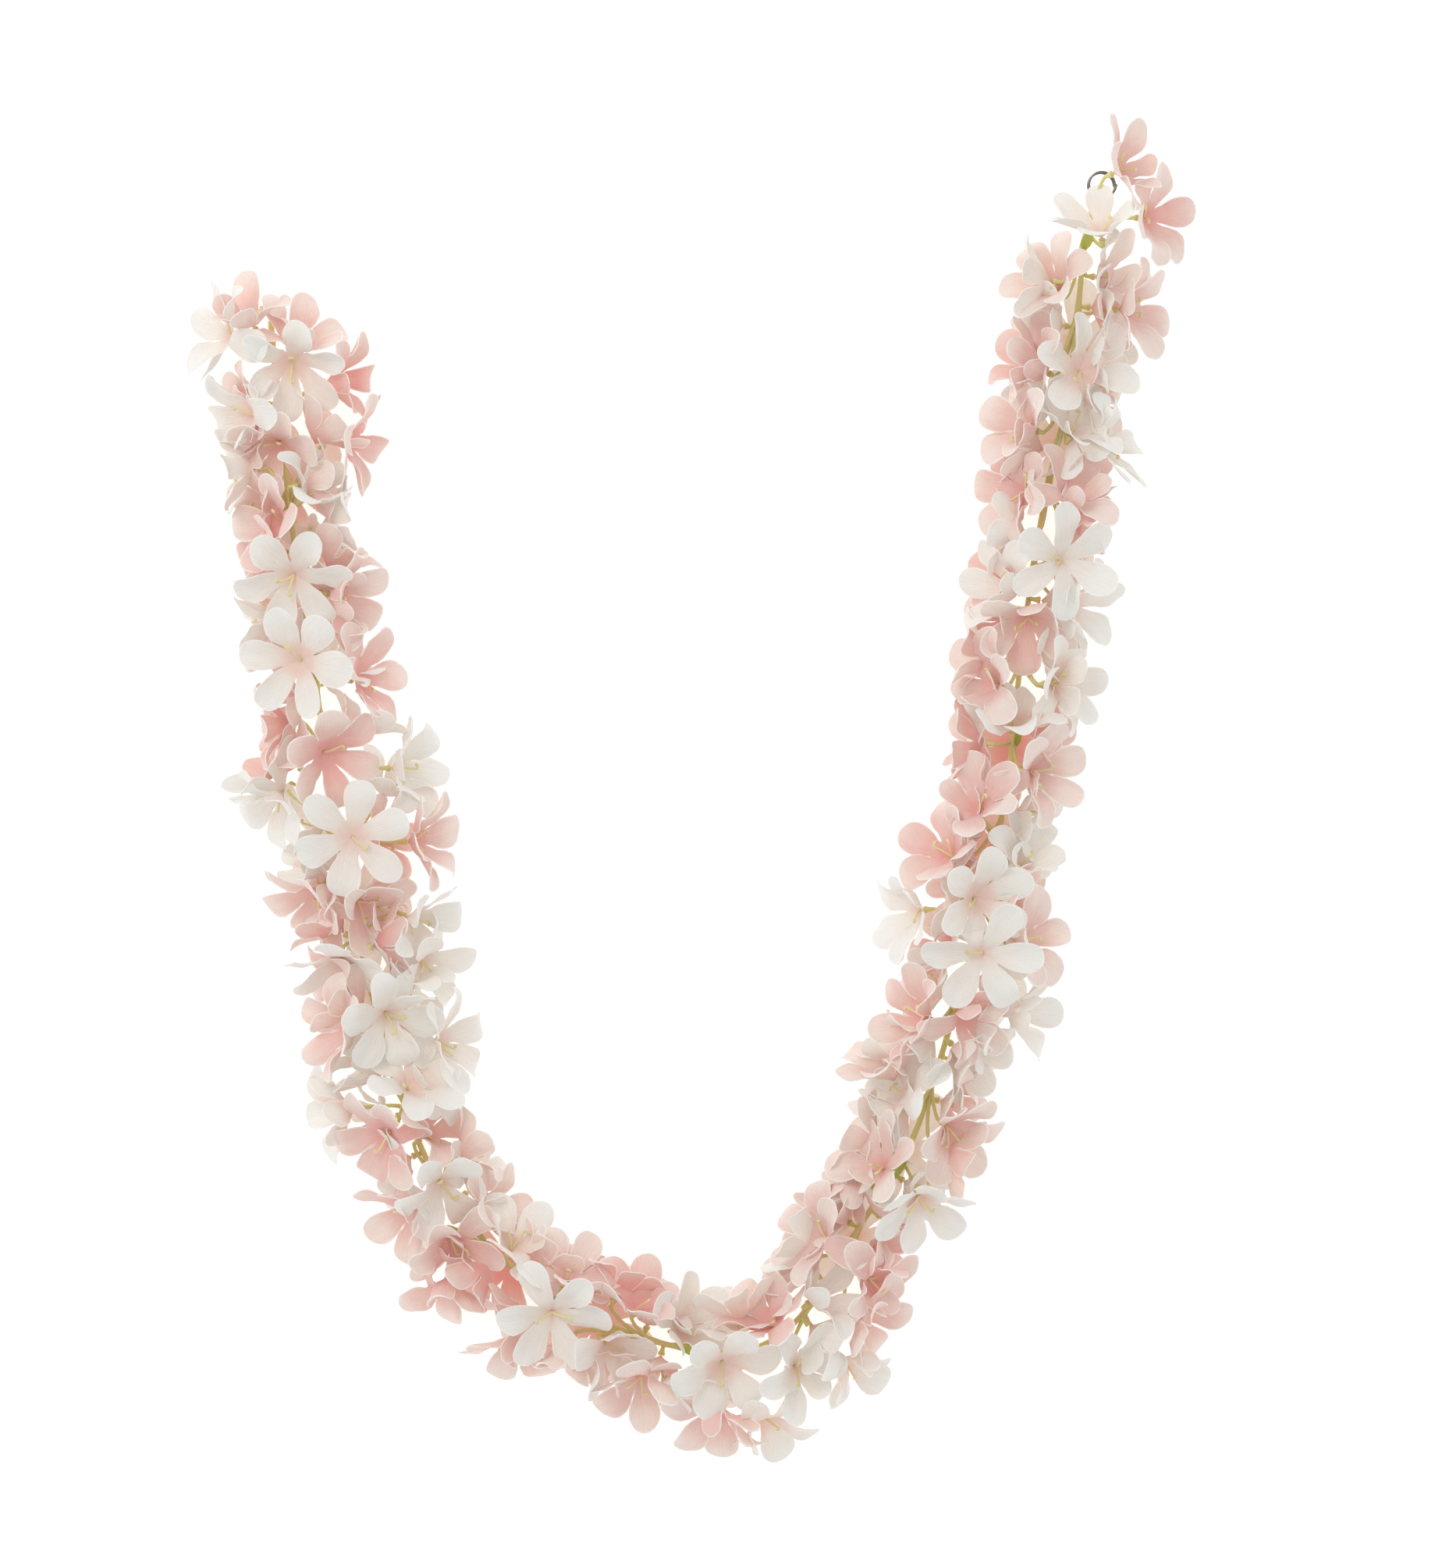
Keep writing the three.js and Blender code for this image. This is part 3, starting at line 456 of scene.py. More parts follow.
def read_blooms(node):
    """Every bloom of a node with its lobes' lines, reaches and whether each lobe is made."""
    points = corners_of(node)
    blooms = read_hubs(points)
    if len(blooms) != len(node.split("_")) - 2:
        raise RuntimeError(f"{node} holds {len(blooms)} blooms, and its name says otherwise")
    for bloom in blooms:
        lobes = [read_lobe(points, bloom, side) for side in range(LOBES)]
        bloom["made"] = np.array([lobe is not None or not bloom["flat"] for lobe in lobes])
        lobes = [lobe or hidden_lobe(bloom) for lobe in lobes]
        bloom["lines"] = np.array([line for line, _ in lobes])
        bloom["reaches"] = np.array([reach for _, reach in lobes])
        bloom["tone"] = node.split("_")[0]
        tips = bloom["hub"] + bloom["outs"] * bloom["lines"][:, 3, :1]
        tips = tips + bloom["axis"] * bloom["lines"][:, 3, 1:]
        bloom["made"] &= tips[:, 2] > 0
    return blooms


BLOOM_NODES = sorted(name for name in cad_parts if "_bloom" in name)
BLOOMS = {node: read_blooms(node) for node in BLOOM_NODES}
ALL_BLOOMS = [bloom for node in BLOOM_NODES for bloom in BLOOMS[node]]
for number, shown in enumerate(ALL_BLOOMS):
    shown["seed"] = number


# --- Blooms between the others --------------------------------------------------------------------
INNER_STEP = 9 * MM  # along the stem, from one bloom among the others to the next
INNER_CUP = math.radians(32)  # slope of the funnel
INNER_REACH = 0.86  # of a full lobe
INNER_BENDS = (math.radians(8), math.radians(-6))  # at the start of a lobe's two stretches
INNER_OUT = (6 * MM, 13 * MM, 20 * MM)  # from the stem, seen from above
INNER_HEIGHTS = (11 * MM, 18 * MM, 25 * MM)
INNER_TILTS = (math.radians(40), math.radians(65), math.radians(92))
INNER_WAYS = (math.radians(-50), math.radians(0), math.radians(50))  # off square to the stem
INNER_SEED = 21
SEEDS = 10**6  # how many seeds a bloom's own is drawn from
PINK_SHARE = 0.55  # of such blooms
NEAR_STEM = 27 * MM  # where bare table is covered
STEM_SHOWN = 4.5 * MM  # where it isn't, so that the stem shows
FAR_COST = 0.8  # of a cell covered further out
STEM_COST = 3.0  # of a cell covered right over the stem
INNER_ENDS = (32 * MM, 24 * MM)  # of the stem, that have no such blooms
LEAST_GAIN = 24  # cells that a bloom must be worth
TAKEN_COST = 0.3  # of a cell that runs into another bloom, against covering a bare one
CELL = 2.4 * MM  # of the grid that tells what is covered or taken
GRID = tuple(math.ceil((high - low) / CELL) + 1 for low, high in zip(*CAD_BOX))
WALLS = (2, math.ceil(STEM_ALONG[-1] / CELL) + 1, GRID[2])
WALL_HEIGHTS = (4 * MM, 42 * MM)  # where a bare side is covered
WALL_WORTH = 0.6  # of a cell seen from the side, against one seen from above


def lobe_pattern():
    """One side of a bloom laid flat: across (-1 to 1), x, y, and rows that belong to the lobe.

    Funnel rows are arcs of a sixth of a circle. From the slits' foot the half width swells as a
    sine to its widest, and the tip is half an ellipse, mapped from a square by
    x = u sqrt(1 - t^2/2), y = t sqrt(1 - u^2/2).
    """
    u = np.linspace(-1, 1, COLUMNS + 1)
    arc = SIXTH / 2 * u
    radii = SLIT_FOOT * (np.arange(FUNNEL_ROWS + 1) / FUNNEL_ROWS)[:, None]
    x = [radii * np.sin(arc)]
    y = [radii * np.cos(arc)]
    t = (np.arange(1, SIDE_ROWS + 1) / SIDE_ROWS)[:, None]
    half = mix(SLIT_FOOT / 2, WIDEST, np.sin(t * math.pi / 2) ** SIDE_SWELL)
    x.append(half * u)
    y.append(mix(SLIT_FOOT * np.cos(arc), WIDEST_AT, t))
    t = (np.arange(1, TIP_ROWS + 1) / TIP_ROWS)[:, None]
    x.append(WIDEST * u * np.sqrt(1 - t**2 / 2))
    y.append(WIDEST_AT + (TIP_AT - WIDEST_AT) * t * np.sqrt(1 - u**2 / 2))
    return np.broadcast_to(u, (len(np.vstack(x)), len(u))), np.vstack(x), np.vstack(y)


ACROSS, PATTERN_X, PATTERN_Y = lobe_pattern()
LOBE_SHARE = smooth((PATTERN_Y - SLIT_FOOT) / (FADE * 1.5))  # 0 in the funnel, 1 out in the lobe


def lobe_line(lines, reaches, y):
    """A smooth line through each lobe's four knots, at distances y out from the hub.

    Between two knots it is the cubic that has their places and the mean slopes there; past the
    last knot it runs straight. Gives places and directions in the plane (out, axis).
    """
    stops = np.stack(
        [0 * reaches, RIM + 0 * reaches, RIM + LOBE_ROWS[0] * reaches,
         RIM + sum(LOBE_ROWS) * reaches], axis=1
    )
    steps = np.diff(stops, axis=1)
    slopes = np.diff(lines, axis=1) / steps[..., None]
    before, after = steps[:, :-1, None], steps[:, 1:, None]
    inner = (slopes[:, :-1] * after + slopes[:, 1:] * before) / (before + after)
    knots = np.concatenate([slopes[:, :1], inner, slopes[:, -1:]], axis=1)
    place = np.zeros(y.shape + (2,))
    way = np.zeros(y.shape + (2,))
    for k in range(3):
        start, step = stops[:, k, None, None], steps[:, k, None, None]
        t = ((y - start) / step)[..., None]
        p, q = lines[:, k, None, None], lines[:, k + 1, None, None]
        m = knots[:, k, None, None] * step[..., None]
        n = knots[:, k + 1, None, None] * step[..., None]
        bent = p * (2 * t**3 - 3 * t**2 + 1) + m * (t**3 - 2 * t**2 + t)
        bent = bent + q * (3 * t**2 - 2 * t**3) + n * (t**3 - t**2)
        turn = (q - p) * (6 * t - 6 * t**2) + m * (3 * t**2 - 4 * t + 1) + n * (3 * t**2 - 2 * t)
        inside = (t >= 0) & ((t <= 1) | (k == 2))
        if k == 2:
            past = np.maximum(t - 1, 0)
            bent = np.where(past > 0, q + n * past, bent)
            turn = np.where(past > 0, n, turn)
        place = np.where(inside, bent, place)
        way = np.where(inside, turn, way)
    return place, unit(way)


def on_arc(length, bend):
    """Where a length ends that starts level and bends by so much for each metre."""
    return np.sin(bend * length) / bend, (1 - np.cos(bend * length)) / bend


def bloom_sheet(bloom, settings):
    """Points of a bloom's six sides, (side, row, column), with their pattern and values.

    A point lies x across and y out on its lobe's line. The lobe is rolled across its line to an
    arc of curvature k, so x becomes sin(kx)/k and rises (1 - cos(kx))/k, and past its widest
    place its line is bent to an arc in the same way. The rim is turned back, a crease runs up the
    middle, the edge waves and the whole lobe is twisted about its line.
    """
    draws = np.random.default_rng(bloom["seed"])
    count = (LOBES, 1, 1)
    reach = bloom["reaches"].reshape(count)
    foot = SLIT_FOOT * np.cos(SIXTH / 2 * ACROSS)
    y = np.where(PATTERN_Y > foot, foot + (PATTERN_Y - foot) * reach, PATTERN_Y)
    x = PATTERN_X * (1 + (reach * draws.uniform(*LOBE_WIDTHS, count) - 1) * LOBE_SHARE)
    place, way = lobe_line(bloom["lines"], bloom["reaches"], y)

    # The funnel is one cone for all sides, and runs on a little way into the lobes' edges.
    cup = bloom["cup"]
    fade = 1 - smooth((y - RIM) / FADE)
    cone = y[..., None] * np.array([math.cos(cup), math.sin(cup)])
    place = place + (cone - place) * (np.abs(ACROSS) ** 4 * fade)[..., None]
    wide = x * (1 + (math.cos(cup) - 1) * (1 - LOBE_SHARE))

    edge = np.abs(ACROSS)
    tip = smooth((PATTERN_Y / TIP_AT - CREASE_FADES) / (1 - CREASE_FADES))
    bends = FLAT_BENDS if bloom["flat"] else 1.0
    hollow = settings.hollow * bends * draws.beta(*HOLLOW_SPREAD, count)
    hollow = hollow * draws.choice(HOLLOW_WAYS, count)
    wide, lift = on_arc(wide, (hollow * LOBE_SHARE + LEAST_BEND) / WIDEST)
    lift = lift - settings.roll * draws.uniform(*ROLL_RANGE, count) * edge**5 * LOBE_SHARE
    crease = np.exp(-((x / CREASE_HALF_WIDTH) ** 2)) * (1 - tip) * LOBE_SHARE
    lift = lift - settings.crease * draws.uniform(*CREASE_RANGE, count) * crease
    ripple = np.sin(PATTERN_Y / RIPPLE_LENGTH + draws.uniform(0, 6, count) + ACROSS)
    lift = lift + settings.ripple * ripple * edge**3 * LOBE_SHARE
    twist = settings.twist * draws.uniform(-1, 1, count) * LOBE_SHARE * bends
    flat_wide, flat_lift = wide, lift
    wide = flat_wide * np.cos(twist) - flat_lift * np.sin(twist)
    lift = flat_lift * np.cos(twist) + flat_wide * np.sin(twist)
    if bloom["flat"]:
        lift = -np.abs(lift)

    past = np.maximum(y - WIDEST_AT * reach, 0)
    curl = settings.tip_curl * draws.uniform(*CURL_RANGE, count) * bends
    bent, rise = on_arc(past, (curl + LEAST_BEND) / ((TIP_AT - WIDEST_AT) * reach))
    lift = lift + rise

    dip = THROAT_DIP * (1 - smooth(np.hypot(x, y) / THROAT)) * (0 if bloom["flat"] else 1)
    normal = np.stack([-way[..., 1], way[..., 0]], axis=-1)
    place = place + normal * lift[..., None] + way * (bent - past)[..., None]
    out = bloom["outs"][:, None, None]
    side = np.cross(bloom["axis"], bloom["outs"])[:, None, None]
    points = bloom["hub"] + out * place[..., :1] + side * wide[..., None]
    points = points + bloom["axis"] * (place[..., 1:] - dip[..., None])

    past = np.clip((PATTERN_Y - WIDEST_AT) / (TIP_AT - WIDEST_AT), 0, 1)
    inset = np.minimum(1 - edge, 1 - np.hypot(past, ACROSS * past)) * WIDEST
    inset = np.where(LOBE_SHARE > 0, inset, WIDEST)
    tone = mix(0.5, draws.uniform(0, 1, count), LOBE_SHARE) + 0 * x
    tone = mix(tone, draws.uniform(0, 1), 0.5)
    pattern = np.stack([x, np.broadcast_to(y, x.shape)], axis=-1)
    return points, pattern, {"tone": tone, "inset": np.broadcast_to(inset, x.shape) / MM}


def cells_of(points, axes=3):
    """The cells of a grid in the solids' box that points lie in, each once, as one number."""
    steps = np.floor((points - CAD_BOX_LOW) / CELL).astype(int)[:, :axes]
    return np.unique(np.ravel_multi_index(steps.T, GRID[:axes]))


def wall_cells(along, off, height):
    """The cells of two walls, one along each side of the stem, that points stand before."""
    step = np.clip(along / CELL, 0, WALLS[1] - 1).astype(int)
    level = np.clip(height / CELL, 0, WALLS[2] - 1).astype(int)
    return np.unique(np.ravel_multi_index(((off > 0).astype(int), step, level), WALLS))


def seen_from_stem(points):
    """How far along the stem points lie, and how far to its left."""
    gaps = np.linalg.norm(points[:, None, :2] - STEM[None, :-1, :2], axis=2)
    nearest = gaps.argmin(axis=1)
    along = np.diff(STEM, axis=0)[nearest]
    off = points - STEM[nearest]
    return STEM_ALONG[nearest], along[:, 0] * off[:, 1] - along[:, 1] * off[:, 0]


def even_bloom(hub, axis, spin, tone):
    """A bloom with six like lobes."""
    first = unit(np.cross(axis, [0.2, 0.1, 1.0]))  # square to the axis, whichever way it is
    third = np.cross(axis, first)
    angles = spin + SIXTH * np.arange(LOBES)[:, None]
    line = [np.zeros(2), RIM * np.array([math.cos(INNER_CUP), math.sin(INNER_CUP)])]
    slope = INNER_CUP
    for length, bend in zip(LOBE_ROWS, INNER_BENDS):
        slope += bend
        line.append(line[-1] + length * INNER_REACH * np.array([math.cos(slope), math.sin(slope)]))
    return {
        "hub": hub, "axis": axis, "flat": False, "cup": INNER_CUP, "tone": tone,
        "outs": first * np.cos(angles) + third * np.sin(angles),
        "lines": np.repeat(np.array(line)[None], LOBES, axis=0),
        "reaches": np.full(LOBES, INNER_REACH), "made": np.ones(LOBES, bool),
    }


def bare_table(sheets):
    """What it is worth to cover each cell seen from above: most near the stem, a loss elsewhere."""
    middles = CAD_BOX_LOW[:2] + (np.argwhere(np.ones(GRID[:2])) + 0.5) * CELL
    gaps = np.array([np.hypot(*(STEM[:, :2] - middle).T).min() for middle in middles])
    worth = np.where(gaps < NEAR_STEM, 1.0, -FAR_COST)
    worth[gaps < STEM_SHOWN] = -STEM_COST
    worth[cells_of(sheets, 2)] = 0
    return worth


def bare_sides(sheets):
    """What it is worth to cover each cell of the two walls along the stem."""
    walls = np.zeros(WALLS)
    low, high = (math.ceil(height / CELL) for height in WALL_HEIGHTS)
    walls[..., low:high] = WALL_WORTH
    walls = walls.ravel()
    walls[wall_cells(*seen_from_stem(sheets), sheets[:, 2])] = 0
    return walls


def plain_lobe():
    """Points of a lobe without its fine form, as ways out, across and along the axis."""
    bloom = even_bloom(np.zeros(3), np.array([0, 0, 1.0]), 0, "")
    line, _ = lobe_line(bloom["lines"][:1], bloom["reaches"][:1], PATTERN_Y[None])
    lobe = np.stack([line[0, ..., 0], PATTERN_X * INNER_REACH, line[0, ..., 1]])[..., None]
    return lobe[:, ::2, ::2]


def inner_tries(s, spin, tone):
    """Blooms tried at a distance along the stem, on both sides of it.

    They lie nearer and further, higher and lower, and are more and less tilted.
    """
    at, ahead = stem_at(s), stem_at(s + MM)
    along = unit((ahead - at) * (1, 1, 0))
    square = np.cross([0, 0, 1.0], along)
    choices = itertools.product((-1, 1), INNER_OUT, INNER_HEIGHTS, INNER_TILTS, INNER_WAYS)
    for side, out, height, tilt, way in choices:
        level = side * square * math.cos(way) + along * math.sin(way)
        axis = level * math.sin(tilt) + np.array([0, 0, math.cos(tilt)])
        hub = at * (1, 1, 0) + side * square * out + np.array([0, 0, height])
        yield even_bloom(hub, axis, spin, tone), at, along, square


def set_among(blooms, settings):
    """Blooms set among the others along the stem, each where it covers most and meets least.

    A try counts the bare cells near the stem that it covers seen from above and those that it
    covers seen from the side, less its bare cells far from the stem or right over it and a share
    of its cells in space that other blooms take. At every step the best try is kept.
    """
    draws = np.random.default_rng(INNER_SEED)
    sheets = np.vstack([bloom_sheet(bloom, settings)[0].reshape(-1, 3) for bloom in blooms])
    sheets = np.clip(sheets, CAD_BOX_LOW, CAD_BOX_HIGH - NEAR)
    taken = np.zeros(math.prod(GRID), bool)
    taken[cells_of(sheets)] = True
    worth = bare_table(sheets)
    walls = bare_sides(sheets)
    lobe = plain_lobe()
    added = []
    for s in np.arange(INNER_ENDS[0], STEM_ALONG[-1] - INNER_ENDS[1], INNER_STEP):
        tone = "pink" if draws.random() < PINK_SHARE else "white"
        spin, seed = draws.uniform(0, SIXTH), int(draws.integers(SEEDS))
        best = (LEAST_GAIN, None, None)
        for bloom, at, along, square in inner_tries(s, spin, tone):
            outs = bloom["outs"][:, None, None]
            wide = np.cross(bloom["axis"], bloom["outs"])[:, None, None]
            points = bloom["hub"] + outs * lobe[0] + wide * lobe[1] + bloom["axis"] * lobe[2]
            points = points.reshape(-1, 3)
            if (points < CAD_BOX_LOW + MM).any() or (points > CAD_BOX_HIGH - MM).any():
                continue
            over, through = cells_of(points, 2), cells_of(points)
            before = wall_cells(s + (points - at) @ along, (points - at) @ square, points[:, 2])
            score = worth[over].sum() + walls[before].sum() - TAKEN_COST * taken[through].sum()
            if score > best[0]:
                best = (score, bloom, (over, through, before))
        if best[1]:
            added.append({**best[1], "seed": seed})
            over, through, before = best[2]
            worth[over] = 0
            taken[through] = True
            walls[before] = 0
    return added


def bloom_mesh(blooms, settings):
    """Points, faces and values of several blooms; a lobe that isn't made leaves its funnel."""
    rows, columns = ACROSS.shape
    points, pattern, tone, inset, faces = [], [], [], [], []
    for bloom in blooms:
        sheet, flat, values = bloom_sheet(bloom, settings)
        for side in range(LOBES):
            kept = rows if bloom["made"][side] else FUNNEL_ROWS + 1
            faces.append(grid_faces(kept, columns, sum(len(p) for p in points)))
            points.append(sheet[side, :kept].reshape(-1, 3))
            pattern.append(flat[side, :kept].reshape(-1, 2))
            tone.append(values["tone"][side, :kept].ravel())
            inset.append(values["inset"][side, :kept].ravel())
    values = {"tone": np.concatenate(tone), "inset": np.concatenate(inset)}
    return np.vstack(points), np.vstack(faces)[:, ::-1], np.vstack(pattern), values


def petal_piece(name, blooms, settings, material, replaced=()):
    """One piece from several blooms of a colour.

    The flat pattern is scaled and set in the middle of the map, so that it fits one tile.
    """
    points, faces, pattern, values = bloom_mesh(blooms, settings)
    pattern = pattern * MAP_SCALE + MAP_MIDDLE
    piece = mesh_piece(name, points, faces, material, pattern, values)
    merge_doubles(piece)
    thicken(piece, settings.sheet)
    belongs(piece, replaced)


# --- Tubes ----------------------------------------------------------------------------------------
def tube(line, radii, sides, caps=True):
    """Rings of points round a line; each ring's first direction is the one before, made square.

    Gives points and faces; the two ends close on a middle point.
    """
    line = np.asarray(line, float)
    radii = np.broadcast_to(np.asarray(radii, float), len(line))
    along = unit(np.gradient(line, axis=0))
    side = np.cross([0.31, 0.17, 1.0], along[0])
    rings = []
    angles = 2 * np.pi * np.arange(sides)[:, None] / sides
    for point, way, radius in zip(line, along, radii):
        side = unit(side - (side @ way) * way)
        third = np.cross(way, side)
        rings.append(point + radius * (np.cos(angles) * side + np.sin(angles) * third))
    points = np.vstack(rings)
    faces = grid_faces(len(line), sides, wrap=True).tolist()
    if caps:
        first, last = len(points), len(points) + 1
        points = np.vstack([points, line[0], line[-1]])
        end = (len(line) - 1) * sides
        for k in range(sides):
            after = (k + 1) % sides
            faces.append([first, after, k])
            faces.append([last, end + k, end + after])
    return points, faces


def joined(parts):
    """Several (points, faces) as one."""
    points, faces = [], []
    start = 0
    for some, its in parts:
        faces += [[index + start for index in face] for face in its]
        points.append(some)
        start += len(some)
    return np.vstack(points), faces


def bezier(a, b, c, d, count):
    t = np.linspace(0, 1, count)[:, None]
    return a * (1 - t) ** 3 + 3 * b * t * (1 - t) ** 2 + 3 * c * t**2 * (1 - t) + d * t**3


def stalk_roots(blooms):
    """Where each bloom's stalk leaves the stem: by the fork a little before the bloom."""
    hubs = np.array([bloom["hub"] for bloom in blooms])
    forks = math.floor((STEM_ALONG[-1] - FORK_FIRST) / FORK_STEP)
    k = np.round((nearest_on_stem(hubs) - STALK_RUN - FORK_FIRST) / FORK_STEP)
    spread = np.random.default_rng(STALK_SEED).uniform(-FORK_SPREAD, FORK_SPREAD, len(hubs))
    return FORK_FIRST + np.clip(k, 0, forks) * FORK_STEP + spread


def stalk_lines(blooms):
    """Each bloom's stalk from the stem to the foot of its calyx, and on to the calyx's top.

    A stalk leaves along the stem and comes in along the bloom's axis, and bows little.
    """
    lines = []
    for bloom, root in zip(blooms, stalk_roots(blooms)):
        start, ahead = stem_at(root), stem_at(root + 2 * MM)
        top = bloom["hub"] - bloom["axis"] * (SOLID_HUB - SOLID_SHEET / 2 + SEAT_GAP)
        foot = top - bloom["axis"] * CALYX_LENGTH
        run = foot - start
        bow = np.linalg.norm(run) * STALK_BOW
        leave = mix(unit(run), unit(ahead - start), STALK_LEAVES)
        arrive = mix(unit(run), bloom["axis"], STALK_ARRIVES)
        curve = bezier(start, start + leave * bow, foot - arrive * bow, foot, STALK_POINTS)
        lines.append((curve, top))
    return lines


# --- Materials ------------------------------------------------------------------------------------
def add_node(tree, kind, values=None, **settings):
    """A node with its settings, and its inputs set or linked by name or number."""
    made = tree.nodes.new(kind)
    for key, value in settings.items():
        setattr(made, key, value)
    for key, value in (values or {}).items():
        if isinstance(value, bpy.types.NodeSocket):
            tree.links.new(value, made.inputs[key])
        else:
            made.inputs[key].default_value = value
    return made


def sums(tree, operation, one, two=0.0, three=0.0, clamp=False):
    values = {0: one, 1: two, 2: three}
    return add_node(tree, "ShaderNodeMath", values, operation=operation, use_clamp=clamp).outputs[0]


def blend_colours(tree, share, one, two, kind="MIX"):
    values = {"Factor": share, 6: one, 7: two}
    made = add_node(tree, "ShaderNodeMix", values, data_type="RGBA", blend_type=kind)
    return made.outputs[2]


def noise(tree, place, scale, detail):
    values = {"Vector": place, "Scale": scale, "Detail": detail}
    return add_node(tree, "ShaderNodeTexNoise", values).outputs["Fac"]


def step_between(tree, value, low, high):
    """0 below low and 1 above high, with no slope at either."""
    values = {"Value": value, "From Min": low, "From Max": high}
    made = add_node(tree, "ShaderNodeMapRange", values, interpolation_type="SMOOTHSTEP")
    return made.outputs["Result"]


def new_group(name, inputs, outputs):
    group = bpy.data.node_groups.new(name, "ShaderNodeTree")
    for label, kind, default in inputs:
        socket = group.interface.new_socket(label, in_out="INPUT", socket_type=kind)
        socket.default_value = default
    for label, kind in outputs:
        group.interface.new_socket(label, in_out="OUTPUT", socket_type=kind)
    return group, group.nodes.new("NodeGroupInput"), group.nodes.new("NodeGroupOutput")


STEM_FLECK = (0.78, 0.78, 0.36)  # the colour of its uneven patches
LEAF_FLECK = (0.50, 0.60, 0.12)
STAMEN_FLECK = 1.1  # times the stamens' own colour
RIM_COLOUR = (0.90, 0.87, 0.82)
PAINTED_PETAL_GLOW = 0.13  # painted light: each petal glows with its own colour all over, which lifts its shade
THROAT_FADES = (0.06, 0.42)  # of the way out to the tip: the throat's colour gives way
TIP_FADES = (0.42, 0.92)  # and the tip's comes in
PINK_BLUSH = 0.75  # how much more or less dye a lobe can have
WHITE_BLUSH = 0.6
CLOUD_SHARE = 0.3  # how far soft clouds in the dye move these edges
CLOUD_SCALE = 0.16  # clouds for each millimetre
VEIN_PAINTED_SHADE = 0.11  # painted shade in the veins' grooves: so much of the throat's colour is multiplied in
RIM_SHARE = 0.75  # of the rim's colour, at the rim
WEAVE = 0.35  # millimetres from one thread to the next
VEINS = 9.0  # how closely the veins stand
VEINS_MEET = 6.0  # millimetres behind the hub
VEIN_WANDER = 0.8  # how fast they change on their way out
VEIN_SCALE = 4.0
VEIN_EDGES = (0.35, 0.72)  # of the noise, where a vein begins and is whole
RIM_EDGES = (0.3, 0.75)  # millimetres in from the cut, where the pressed rim ends
FABRIC_DEPTH = 0.22 * MM
VEIN_HEIGHT, WEAVE_HEIGHT, RIM_HEIGHT = -0.8, 0.06, 0.4  # of that depth
FABRIC_ROUGHNESS = (0.15, 0.62)  # what clouds add, and the least
MAP_SCALE = 10  # of the flat pattern, for each metre
MAP_MIDDLE = 0.5
PATCH_SCALE = 45.0  # uneven patches in moulded plastic, for each metre
PATCH_EDGES = (0.35, 0.68)
GRAIN_SCALE = 1600.0
GRAIN_DEPTH = 0.06 * MM
GRAIN_ROUGHNESS = (0.25, -0.12)  # what the grain adds at its height, and at its lowest
SCRATCH_SCALE = (900.0, 900.0, 4000.0)
SCRATCH_ROUGHNESS = (0.3, 0.2)  # what scratches add, and the least
DARK_STEEL = 0.6  # of the ring's colour, in its scratches

FLOAT = "NodeSocketFloat"
VECTOR = "NodeSocketVector"
ORIGIN = (0.0, 0.0, 0.0)


def pressed_fabric():
    """What pressing leaves in a lobe: fine veins out from the hub, a pale rim and a weave.

    Flat is the place on the cut pattern in millimetres, Inset the distance in from the rim.
    """
    group, given, results = new_group(
        "pressed_fabric",
        [("Flat", VECTOR, ORIGIN), ("Inset", FLOAT, 1.0), ("Veins", FLOAT, VEINS),
         ("Weave", FLOAT, WEAVE)],
        [("Vein", FLOAT), ("Rim", FLOAT), ("Out", FLOAT), ("Cloud", FLOAT), ("Height", FLOAT)],
    )
    flat = given.outputs["Flat"]
    parts = add_node(group, "ShaderNodeSeparateXYZ", {0: flat}).outputs
    out = sums(group, "DIVIDE", parts[1], TIP_AT / MM)
    fan = sums(group, "DIVIDE", parts[0], sums(group, "ADD", parts[1], VEINS_MEET))
    across = sums(group, "MULTIPLY", fan, given.outputs["Veins"])
    along = sums(group, "MULTIPLY", out, VEIN_WANDER)
    lines = add_node(group, "ShaderNodeCombineXYZ", {0: across, 1: along}).outputs[0]
    vein = step_between(group, noise(group, lines, VEIN_SCALE, 3.0), *VEIN_EDGES)
    cloud = noise(group, flat, CLOUD_SCALE, 2.0)
    inside = step_between(group, given.outputs["Inset"], *RIM_EDGES)
    rim = sums(group, "SUBTRACT", 1.0, inside)
    rate = sums(group, "DIVIDE", 2 * math.pi, given.outputs["Weave"])
    threads = []
    for axis in (0, 1):
        turn = sums(group, "MULTIPLY", parts[axis], rate)
        threads.append(sums(group, "SINE", turn))
    weave = sums(group, "MULTIPLY", threads[0], threads[1])
    height = sums(group, "MULTIPLY", vein, VEIN_HEIGHT)
    height = sums(group, "MULTIPLY_ADD", weave, WEAVE_HEIGHT, height)
    height = sums(group, "MULTIPLY_ADD", rim, RIM_HEIGHT, height)
    marks = {"Vein": vein, "Rim": rim, "Out": out, "Cloud": cloud, "Height": height}
    for name, value in marks.items():
        group.links.new(value, results.inputs[name])
    return group


def new_material(name, **constants):
    """A material whose Principled shader has these constants set straight on its sockets."""
    material = bpy.data.materials.new(name)
    material.use_nodes = True
    shader = material.node_tree.nodes["Principled BSDF"]
    for key, value in constants.items():
        shader.inputs[key.replace("_", " ")].default_value = value
    return material, material.node_tree, shader


def bumped(tree, height, distance, strength=1.0):
    values = {"Height": height, "Distance": distance, "Strength": strength}
    return add_node(tree, "ShaderNodeBump", values).outputs["Normal"]


def opaque(colour):
    return (*colour, 1.0)


